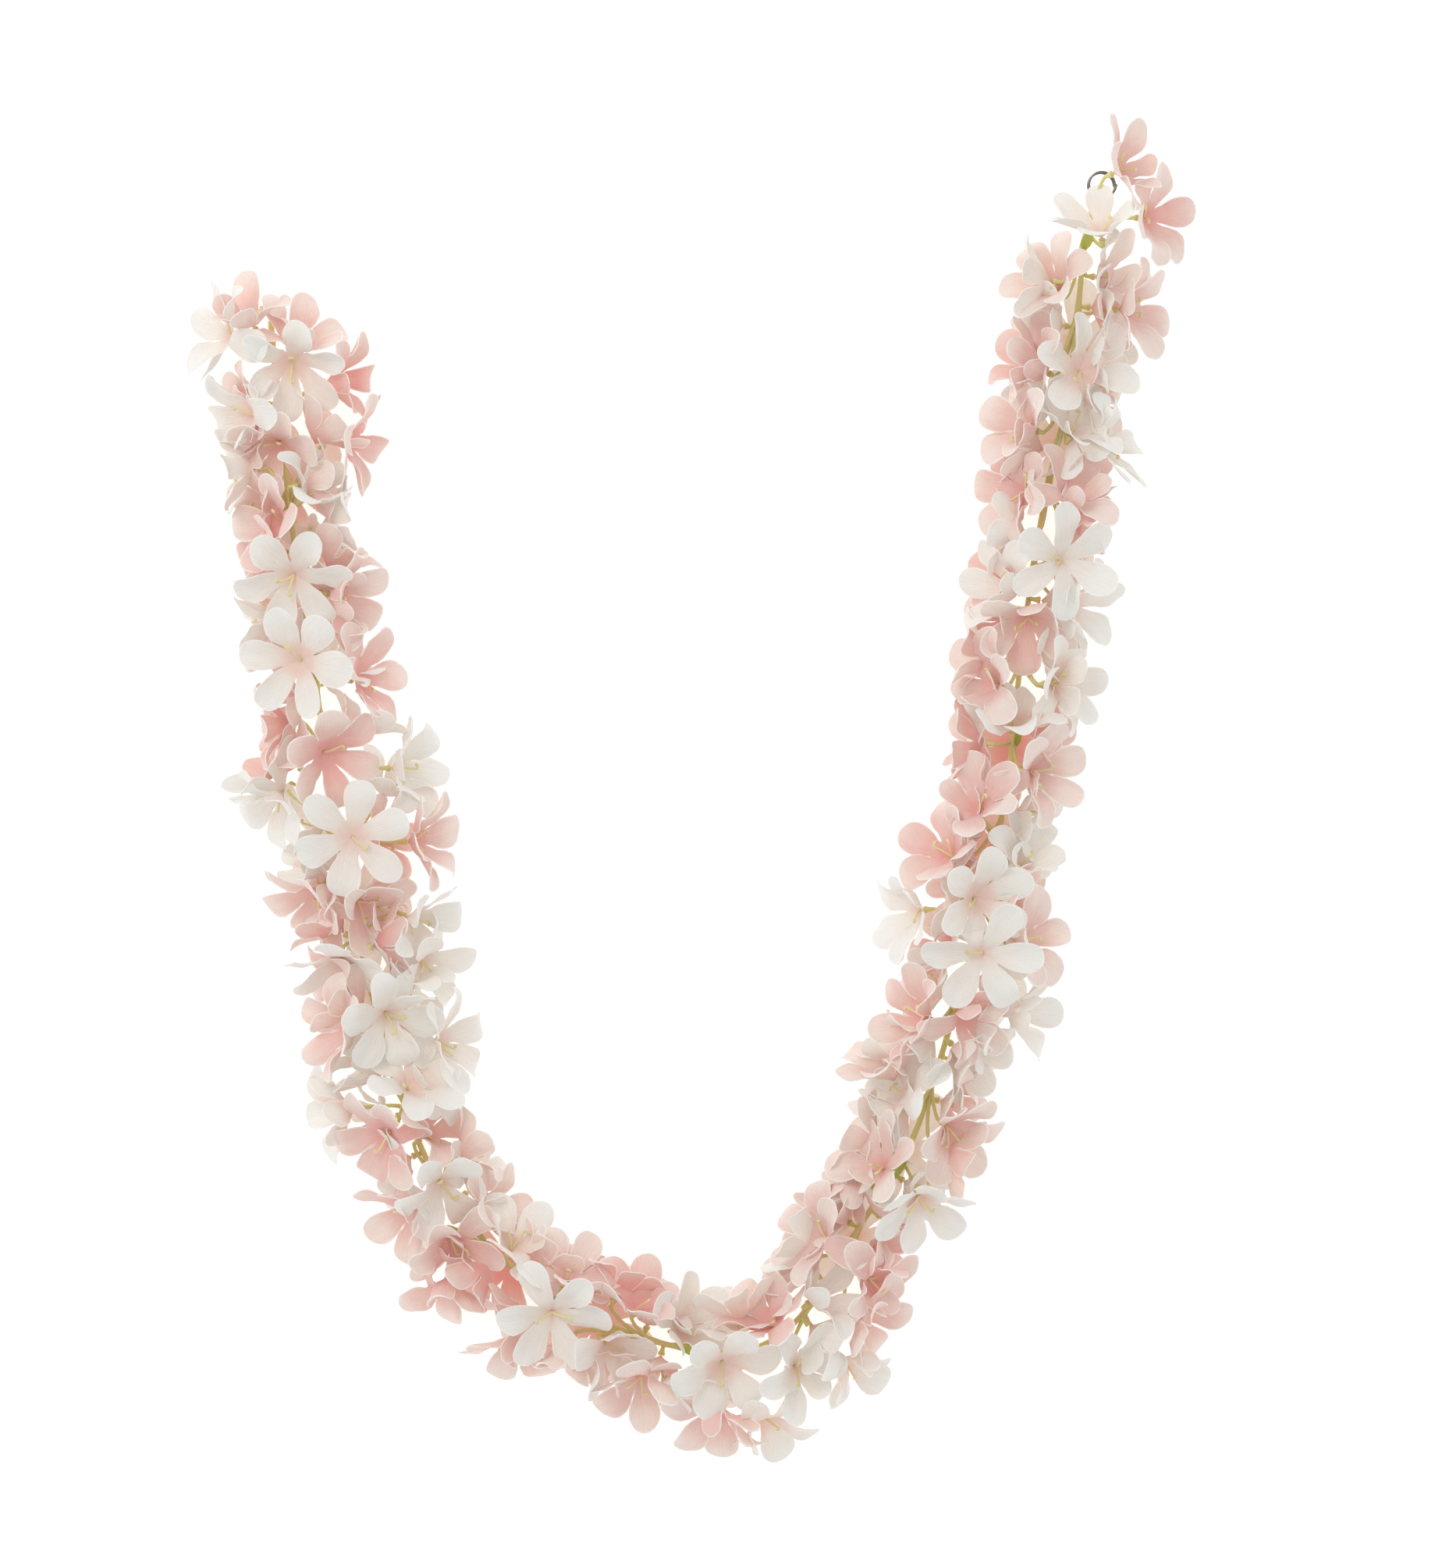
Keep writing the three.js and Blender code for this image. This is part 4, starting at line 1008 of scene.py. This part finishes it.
def petal_material(name, group, throat, middle, tip, blush):
    """Dyed fabric: the dye is strongest in the throat, fades to the rim and differs by lobe."""
    # Painted light: the emission makes each petal glow with its own colour, lifting its shade.
    material, tree, shader = new_material(
        name, Sheen_Weight=0.15, Sheen_Roughness=0.5, Subsurface_Weight=0.45,
        Subsurface_Scale=1.0 * MM, Specular_IOR_Level=0.25, Emission_Strength=PAINTED_PETAL_GLOW,
    )
    links = tree.links
    shader.inputs["Subsurface Radius"].default_value = (1.0, 0.85, 0.8)
    place = add_node(tree, "ShaderNodeUVMap", uv_map="pattern").outputs["UV"]
    flat = place
    for operation, value in (("SUBTRACT", MAP_MIDDLE), ("MULTIPLY", 1 / (MAP_SCALE * MM))):
        values = {0: flat, 1: (value, value, 0.0)}
        flat = add_node(tree, "ShaderNodeVectorMath", values, operation=operation).outputs[0]
    tone = add_node(tree, "ShaderNodeAttribute", attribute_name="tone").outputs["Fac"]
    inset = add_node(tree, "ShaderNodeAttribute", attribute_name="inset").outputs["Fac"]
    marks = add_node(tree, "ShaderNodeGroup", node_tree=group)
    links.new(flat, marks.inputs["Flat"])
    links.new(inset, marks.inputs["Inset"])
    drift = sums(tree, "MULTIPLY_ADD", tone, blush, -blush / 2)
    out = sums(tree, "ADD", marks.outputs["Out"], drift)
    out = sums(tree, "SUBTRACT", out, CLOUD_SHARE / 2)
    out = sums(tree, "MULTIPLY_ADD", marks.outputs["Cloud"], CLOUD_SHARE, out)
    inner = step_between(tree, out, *THROAT_FADES)
    outer = step_between(tree, out, *TIP_FADES)
    colour = blend_colours(tree, inner, opaque(throat), opaque(middle))
    colour = blend_colours(tree, outer, colour, opaque(tip))
    # Painted shade: the veins' grooves are darkened by the throat's colour.
    shade = sums(tree, "MULTIPLY", marks.outputs["Vein"], VEIN_PAINTED_SHADE)
    colour = blend_colours(tree, shade, colour, opaque(throat), "MULTIPLY")
    pale = sums(tree, "MULTIPLY", marks.outputs["Rim"], RIM_SHARE)
    colour = blend_colours(tree, pale, colour, opaque(RIM_COLOUR))
    links.new(colour, shader.inputs["Base Color"])
    # Painted light: the petal's own colour is also given off as a glow.
    links.new(colour, shader.inputs["Emission Color"])
    rough = sums(tree, "MULTIPLY_ADD", marks.outputs["Cloud"], *FABRIC_ROUGHNESS)
    links.new(rough, shader.inputs["Roughness"])
    links.new(bumped(tree, marks.outputs["Height"], FABRIC_DEPTH, 0.7), shader.inputs["Normal"])
    return material


def moulded_material(name, colour, fleck, roughness=0.5):
    """Moulded plastic: uneven colour along its length and a fine grain."""
    material, tree, shader = new_material(name, Subsurface_Weight=0.08, Subsurface_Scale=0.8 * MM)
    place = add_node(tree, "ShaderNodeTexCoord").outputs["Object"]
    share = step_between(tree, noise(tree, place, PATCH_SCALE, 3.0), *PATCH_EDGES)
    grain = noise(tree, place, GRAIN_SCALE, 2.0)
    base = blend_colours(tree, share, opaque(colour), opaque(fleck))
    tree.links.new(base, shader.inputs["Base Color"])
    least = roughness + GRAIN_ROUGHNESS[1]
    rough = sums(tree, "MULTIPLY_ADD", grain, GRAIN_ROUGHNESS[0], least)
    tree.links.new(rough, shader.inputs["Roughness"])
    tree.links.new(bumped(tree, grain, GRAIN_DEPTH, 0.5), shader.inputs["Normal"])
    return material


def metal_material(colour):
    """Drawn steel wire with fine scratches round it."""
    material, tree, shader = new_material("ring steel", Metallic=1.0)
    place = add_node(tree, "ShaderNodeTexCoord").outputs["Object"]
    values = {"Vector": place, "Scale": SCRATCH_SCALE}
    scratch = noise(tree, add_node(tree, "ShaderNodeMapping", values).outputs[0], 1.0, 3.0)
    dark = opaque([channel * DARK_STEEL for channel in colour])
    tree.links.new(blend_colours(tree, scratch, dark, opaque(colour)), shader.inputs["Base Color"])
    rough = sums(tree, "MULTIPLY_ADD", scratch, *SCRATCH_ROUGHNESS)
    tree.links.new(rough, shader.inputs["Roughness"])
    return material


# --- Operators ------------------------------------------------------------------------------------
def make_blooms(tone, blush, settings):
    """The blooms of one colour that have solids, and that colour's fabric."""
    group = bpy.data.node_groups.get("pressed_fabric") or pressed_fabric()
    dyes = [getattr(settings, f"{tone}_{part}") for part in ("throat", "middle", "tip")]
    material = petal_material(tone + " petal fabric", group, *dyes, blush)
    for node in BLOOM_NODES:
        if node.startswith(tone):
            petal_piece(node + "_petals", BLOOMS[node], settings, material, [node])


class GARLAND_OT_pink_blooms(bpy.types.Operator):
    """Make the pink blooms"""

    bl_idname = "garland.pink_blooms"
    bl_label = "Pink blooms"

    def execute(self, context):
        make_blooms("pink", PINK_BLUSH, context.scene.garland_blooms)
        return {"FINISHED"}


class GARLAND_OT_white_blooms(bpy.types.Operator):
    """Make the white blooms"""

    bl_idname = "garland.white_blooms"
    bl_label = "White blooms"

    def execute(self, context):
        make_blooms("white", WHITE_BLUSH, context.scene.garland_blooms)
        return {"FINISHED"}


THREAD_SIDES = 6  # of the tubes of stalks and stamens
WIRE_SIDES = 8  # of calyces, the ring and its eyelet
STEM_SIDES = 12

STAMENS = (1, 3)  # at least, and fewer than
STAMEN_SEED = 1000  # added to the bloom's own
STAMEN_FOOT = -0.2 * MM  # from the bloom's middle, along its axis
STAMEN_RISE = 3 * MM
STAMEN_BEND = 1.4 * MM  # the height that it leans over from
STAMEN_LEAN = math.radians(15)  # how much steeper than its lobe a stamen stands
STAMEN_STEEPEST = math.radians(84)
STAMEN_LENGTHS = (7 * MM, 9.5 * MM)
STAMEN_ENDS_STRAIGHT = 2.5 * MM
STAMEN_HOOKS = (1.5 * MM, 2.6 * MM)
STAMEN_SHARES = (1.3, 1.5, 1.1)  # of its radius, at its foot and at the last two places


def stamen_lines(blooms):
    """Hooked threads out of each throat.

    Each goes up the bloom's axis, over towards a lobe, and sideways at its end.
    """
    lines = []
    for bloom in blooms:
        if bloom["flat"]:
            continue
        draws = np.random.default_rng(bloom["seed"] + STAMEN_SEED)
        for side in draws.permutation(LOBES)[: draws.integers(*STAMENS)]:
            run = bloom["lines"][side, 2] - bloom["lines"][side, 1]
            slope = min(math.atan2(run[1], run[0]) + STAMEN_LEAN, STAMEN_STEEPEST)
            out, axis = bloom["outs"][side], bloom["axis"]
            wide = np.cross(axis, out)
            way = out * math.cos(slope) + axis * math.sin(slope)
            length = draws.uniform(*STAMEN_LENGTHS)
            hook = draws.choice([-1, 1]) * draws.uniform(*STAMEN_HOOKS)
            start = bloom["hub"] + axis * STAMEN_FOOT
            rise = start + axis * STAMEN_RISE
            end = start + axis * STAMEN_BEND + way * length
            curve = bezier(start, rise, end - way * STAMEN_ENDS_STRAIGHT, end, 7)
            past = end + way * MM
            turn = bezier(end, past, past + wide * hook / 2, end + wide * hook, 4)
            lines.append(np.vstack([curve, turn[1:]]))
    return lines


def stamen_piece(name, blooms, settings, material):
    parts = []
    for line in stamen_lines(blooms):
        radii = np.full(len(line), settings.stamen_radius)
        radii[[0, -2, -1]] *= STAMEN_SHARES
        parts.append(tube(line, radii, THREAD_SIDES))
    belongs(mesh_piece(name, *joined(parts), material))


class GARLAND_OT_stamens(bpy.types.Operator):
    """Make the stamens in the throats"""

    bl_idname = "garland.stamens"
    bl_label = "Stamens"

    def execute(self, context):
        s = context.scene.garland_blooms
        pale = [channel * STAMEN_FLECK for channel in s.stamen_colour]
        material = moulded_material("stamen plastic", s.stamen_colour, pale, 0.55)
        stamen_piece("stamens", ALL_BLOOMS, s, material)
        return {"FINISHED"}


STEM_RUN = 2 * MM  # between two rings of the stem's tube
STEM_PLAIN = 0.93  # of its radius, between forks
COLLAR = 0.28  # more of it, at a fork
COLLAR_LENGTH = 3.2 * MM
UNEVEN = 0.05  # more and less of it, all along
UNEVEN_LENGTH = 9 * MM
STALK_FLARE = 0.5  # how much thicker a stalk is where it leaves the stem


def stem_radii(distances, radius):
    """The stem swells at each fork by a bell curve and varies a little between forks."""
    after = (distances - FORK_FIRST + FORK_STEP / 2) % FORK_STEP - FORK_STEP / 2
    collar = np.exp(-((after / COLLAR_LENGTH) ** 2))
    return radius * (STEM_PLAIN + COLLAR * collar + UNEVEN * np.sin(distances / UNEVEN_LENGTH))


def stalk_pieces(ending, blooms, settings, material):
    stalks, calyces = [], []
    for curve, top in stalk_lines(blooms):
        share = np.linspace(0, 1, len(curve))
        radii = settings.stalk_radius * (1 + STALK_FLARE * (1 - share) ** 4)
        stalks.append(tube(curve, radii, THREAD_SIDES))
        calyces.append(calyx(curve[-1], top, settings))
    belongs(mesh_piece("stalks" + ending, *joined(stalks), material))
    belongs(mesh_piece("calyces" + ending, *joined(calyces), material))


class GARLAND_OT_stem(bpy.types.Operator):
    """Make the main stem, the stalks and the calyces"""

    bl_idname = "garland.stem"
    bl_label = "Stem and stalks"

    def execute(self, context):
        s = context.scene.garland_stem
        green = moulded_material("stem plastic", s.stem_colour, STEM_FLECK, 0.5)
        distances = np.arange(0, STEM_ALONG[-1], STEM_RUN)
        stem = tube(stem_at(distances), stem_radii(distances, s.radius), STEM_SIDES)
        belongs(mesh_piece("main_stem", *stem, green), [STEM_NODE])
        stalk_pieces("", ALL_BLOOMS, s, green)
        return {"FINISHED"}


class GARLAND_OT_inner_blooms(bpy.types.Operator):
    """Make the blooms that fill the gaps between the others, with their stalks and stamens"""

    bl_idname = "garland.inner_blooms"
    bl_label = "Inner blooms"

    def execute(self, context):
        s = context.scene.garland_blooms
        blooms = set_among(ALL_BLOOMS, s)
        materials = bpy.data.materials
        for tone in ("pink", "white"):
            some = [bloom for bloom in blooms if bloom["tone"] == tone]
            petal_piece(tone + "_inner_petals", some, s, materials[tone + " petal fabric"])
        stamen_piece("inner_stamens", blooms, s, materials["stamen plastic"])
        stalk_pieces("_inner", blooms, context.scene.garland_stem, materials["stem plastic"])
        return {"FINISHED"}


CALYX_SHARES = (-0.12, 0.05, 0.2, 0.55, 0.85, 1.0)  # along the calyx
CALYX_RADII = (0.42, 0.62, 0.55, 0.72, 1.0, 0.9)  # of its top radius


def calyx(foot, top, settings):
    """A flared cup turned round the line from the stalk's end to under the bloom."""
    line = np.array([mix(foot, top, share) for share in CALYX_SHARES])
    return tube(line, settings.calyx_radius * np.array(CALYX_RADII), WIRE_SIDES)


LEAF_ROWS = 8
LEAF_COLUMNS = 4
LEAF_HALF_WIDTH = 2.0 * MM
LEAF_THICKNESS = 0.5 * MM
LEAF_FOLD = 0.35  # how far its edges rise, as a share of its half width
LEAF_BOW = 1.2 * MM


def leaf_sheet(start, tip):
    """A lance-shaped leaf, folded up along its middle and bowed.

    Its half width goes as (0.15 + sin(pi t^0.8)) (1 - 0.85 t^6), with t from root to tip.
    """
    run = tip - start
    wide = unit(np.cross(run, [0, 0, 1.0]))
    face = unit(np.cross(wide, run))
    t = np.linspace(0, 1, LEAF_ROWS + 1)[:, None, None]
    u = np.linspace(-1, 1, LEAF_COLUMNS + 1)[None, :, None]
    half = LEAF_HALF_WIDTH * (0.15 + np.sin(np.pi * t**0.8)) * (1 - 0.85 * t**6)
    points = start + run * t + wide * half * u
    points = points + face * (LEAF_FOLD * np.abs(u) * half + LEAF_BOW * np.sin(np.pi * t))
    return points.reshape(-1, 3), grid_faces(LEAF_ROWS + 1, LEAF_COLUMNS + 1).tolist()


class GARLAND_OT_leaves(bpy.types.Operator):
    """Make the small leaves on the stem"""

    bl_idname = "garland.leaves"
    bl_label = "Leaves"

    def execute(self, context):
        s = context.scene.garland_stem
        parts = []
        for x, y, tip_x, tip_y, rise in LEAVES:
            start = stem_at(nearest_on_stem(from_pixels([(x, y)])))[0]
            tip = from_pixels([(tip_x, tip_y)], start[2] + rise)[0]
            parts.append(leaf_sheet(start, tip))
        lime = moulded_material("leaf plastic", s.leaf_colour, LEAF_FLECK, 0.45)
        piece = mesh_piece("small_leaves", *joined(parts), lime)
        thicken(piece, LEAF_THICKNESS)
        belongs(piece)
        return {"FINISHED"}


RING_TURNS = 2
RING_STEPS = 40  # round one turn
RING_PITCH = 0.98  # from one turn to the next, in wires
RING_SLIP = 0.55 * MM  # sideways from one turn to the next, in x and in y
EYELET_RADIUS = 2.3 * MM
EYELET_WIRE = 0.65 * MM
EYELET_STEPS = 24
SHANK_SHARE = 0.9  # of the stem's radius


class GARLAND_OT_ring(bpy.types.Operator):
    """Make the split ring at the end and the eyelet that it hangs in"""

    bl_idname = "garland.ring"
    bl_label = "End ring"

    def execute(self, context):
        s = context.scene.garland_stem
        turns = np.linspace(-RING_TURNS / 2, RING_TURNS / 2, RING_TURNS * RING_STEPS + 1)
        angle = (turns + RING_TURNS / 2) * 2 * np.pi
        spiral = np.stack([np.cos(angle), np.sin(angle), 0 * angle], axis=1) * s.ring_radius
        spiral[:, 2] = turns * s.ring_wire * 2 * RING_PITCH * (RING_TURNS - 1) / RING_TURNS
        spiral[:, :2] += RING_SLIP * turns[:, None]
        steel = metal_material(s.metal_colour)
        wire = tube(RING_MIDDLE + spiral, s.ring_wire, WIRE_SIDES)
        ring = mesh_piece("split_ring", *wire, steel)
        belongs(ring, [RING_NODE])

        towards = unit((STEM[0] - RING_MIDDLE) * (1, 1, 0))
        middle = RING_MIDDLE + towards * s.ring_radius
        angle = np.linspace(0, 2 * np.pi, EYELET_STEPS + 1)[:, None]
        upright = np.cos(angle) * towards + np.sin(angle) * np.array([0, 0, 1.0])
        loop = middle + EYELET_RADIUS * upright
        green = bpy.data.materials["stem plastic"]
        shank = bezier(middle + towards * EYELET_RADIUS, middle + towards * 2 * EYELET_RADIUS,
                       STEM[0] - towards * MM, STEM[0], 5)
        eyelet = joined([
            tube(loop, EYELET_WIRE, WIRE_SIDES, caps=False),
            tube(shank, s.radius * SHANK_SHARE, WIRE_SIDES),
        ])
        piece = mesh_piece("eyelet", *eyelet, green)
        merge_doubles(piece)
        belongs(piece)
        return {"FINISHED"}


FLOOR_HALF = 3.0  # metres
KEY_PLACE = (-0.9, 1.1, 1.9)
KEY_SIZE = 1.1
SEEN_HEIGHT = 28 * MM  # the height that the camera's frame is measured at


class GARLAND_OT_stage(bpy.types.Operator):
    """Make the floor, the lights and the camera over the garland"""

    bl_idname = "garland.stage"
    bl_label = "Stage"

    def execute(self, context):
        s = context.scene.garland_stage
        pale, _, shader = new_material("pale floor", Roughness=0.9, Specular_IOR_Level=0.1)
        shader.inputs["Base Color"].default_value = opaque(s.floor_colour)
        shader.inputs["Emission Color"].default_value = opaque(s.floor_colour)
        shader.inputs["Emission Strength"].default_value = s.floor_glow
        corners = np.array([[-1, -1, 0], [1, -1, 0], [1, 1, 0], [-1, 1, 0]]) * FLOOR_HALF
        floor = mesh_piece("floor", corners, [[0, 1, 2, 3]], pale)

        world = bpy.data.worlds.new("soft light")
        world.use_nodes = True
        world.node_tree.nodes["Background"].inputs["Strength"].default_value = s.sky
        world.node_tree.nodes["Background"].inputs["Color"].default_value = (1, 1, 1, 1)
        context.scene.world = world

        lamp = bpy.data.lights.new("key", "AREA")
        lamp.shape = "DISK"
        lamp.size = KEY_SIZE
        lamp.energy = s.key
        key = bpy.data.objects.new("key", lamp)
        context.scene.collection.objects.link(key)
        key.location = KEY_PLACE
        key.rotation_euler = (-Vector(key.location)).to_track_quat("-Z", "Y").to_euler()

        # The long side of the photograph's frame spans the sensor.
        middle = from_pixels([(FRAME_PIXELS[0] / 2, FRAME_PIXELS[1] / 2)], SEEN_HEIGHT)[0]
        camera = bpy.data.cameras.new("camera")
        camera.lens = s.lens
        camera.clip_end = 50
        away = FRAME_PIXELS[1] * PIXEL * s.lens / camera.sensor_width
        over = bpy.data.objects.new("camera", camera)
        context.scene.collection.objects.link(over)
        over.location = middle + (0, 0, away)
        context.scene.camera = over
        context.scene.view_settings.view_transform = "Standard"
        context.scene.view_settings.look = "None"
        return {"FINISHED"}


# --- Panel and registration -----------------------------------------------------------------------
OPERATORS = (
    GARLAND_OT_stage,
    GARLAND_OT_pink_blooms,
    GARLAND_OT_white_blooms,
    GARLAND_OT_stamens,
    GARLAND_OT_stem,
    GARLAND_OT_inner_blooms,
    GARLAND_OT_leaves,
    GARLAND_OT_ring,
)


class GARLAND_PT_panel(bpy.types.Panel):
    """Lists the settings and the pieces"""

    bl_idname = "GARLAND_PT_panel"
    bl_label = "Garland"
    bl_space_type = "VIEW_3D"
    bl_region_type = "UI"
    bl_category = "Garland"

    def draw(self, context):
        for settings in ("garland_blooms", "garland_stem", "garland_stage"):
            box = self.layout.box()
            group = getattr(context.scene, settings)
            for name in group.bl_rna.properties.keys():
                if name not in ("rna_type", "name"):
                    box.prop(group, name)
        for operator in OPERATORS:
            self.layout.operator(operator.bl_idname)


SETTINGS = {
    "garland_blooms": BloomSettings,
    "garland_stem": StemSettings,
    "garland_stage": StageSettings,
}


def register():
    for kind in (*SETTINGS.values(), *OPERATORS, GARLAND_PT_panel):
        bpy.utils.register_class(kind)
    for name, kind in SETTINGS.items():
        setattr(bpy.types.Scene, name, bpy.props.PointerProperty(type=kind))


def unregister():
    for name in SETTINGS:
        delattr(bpy.types.Scene, name)
    for kind in reversed((*SETTINGS.values(), *OPERATORS, GARLAND_PT_panel)):
        bpy.utils.unregister_class(kind)


def main():
    register()
    for operator in OPERATORS:
        family, name = operator.bl_idname.split(".")
        getattr(getattr(bpy.ops, family), name)()


if __name__ == "__main__":
    main()
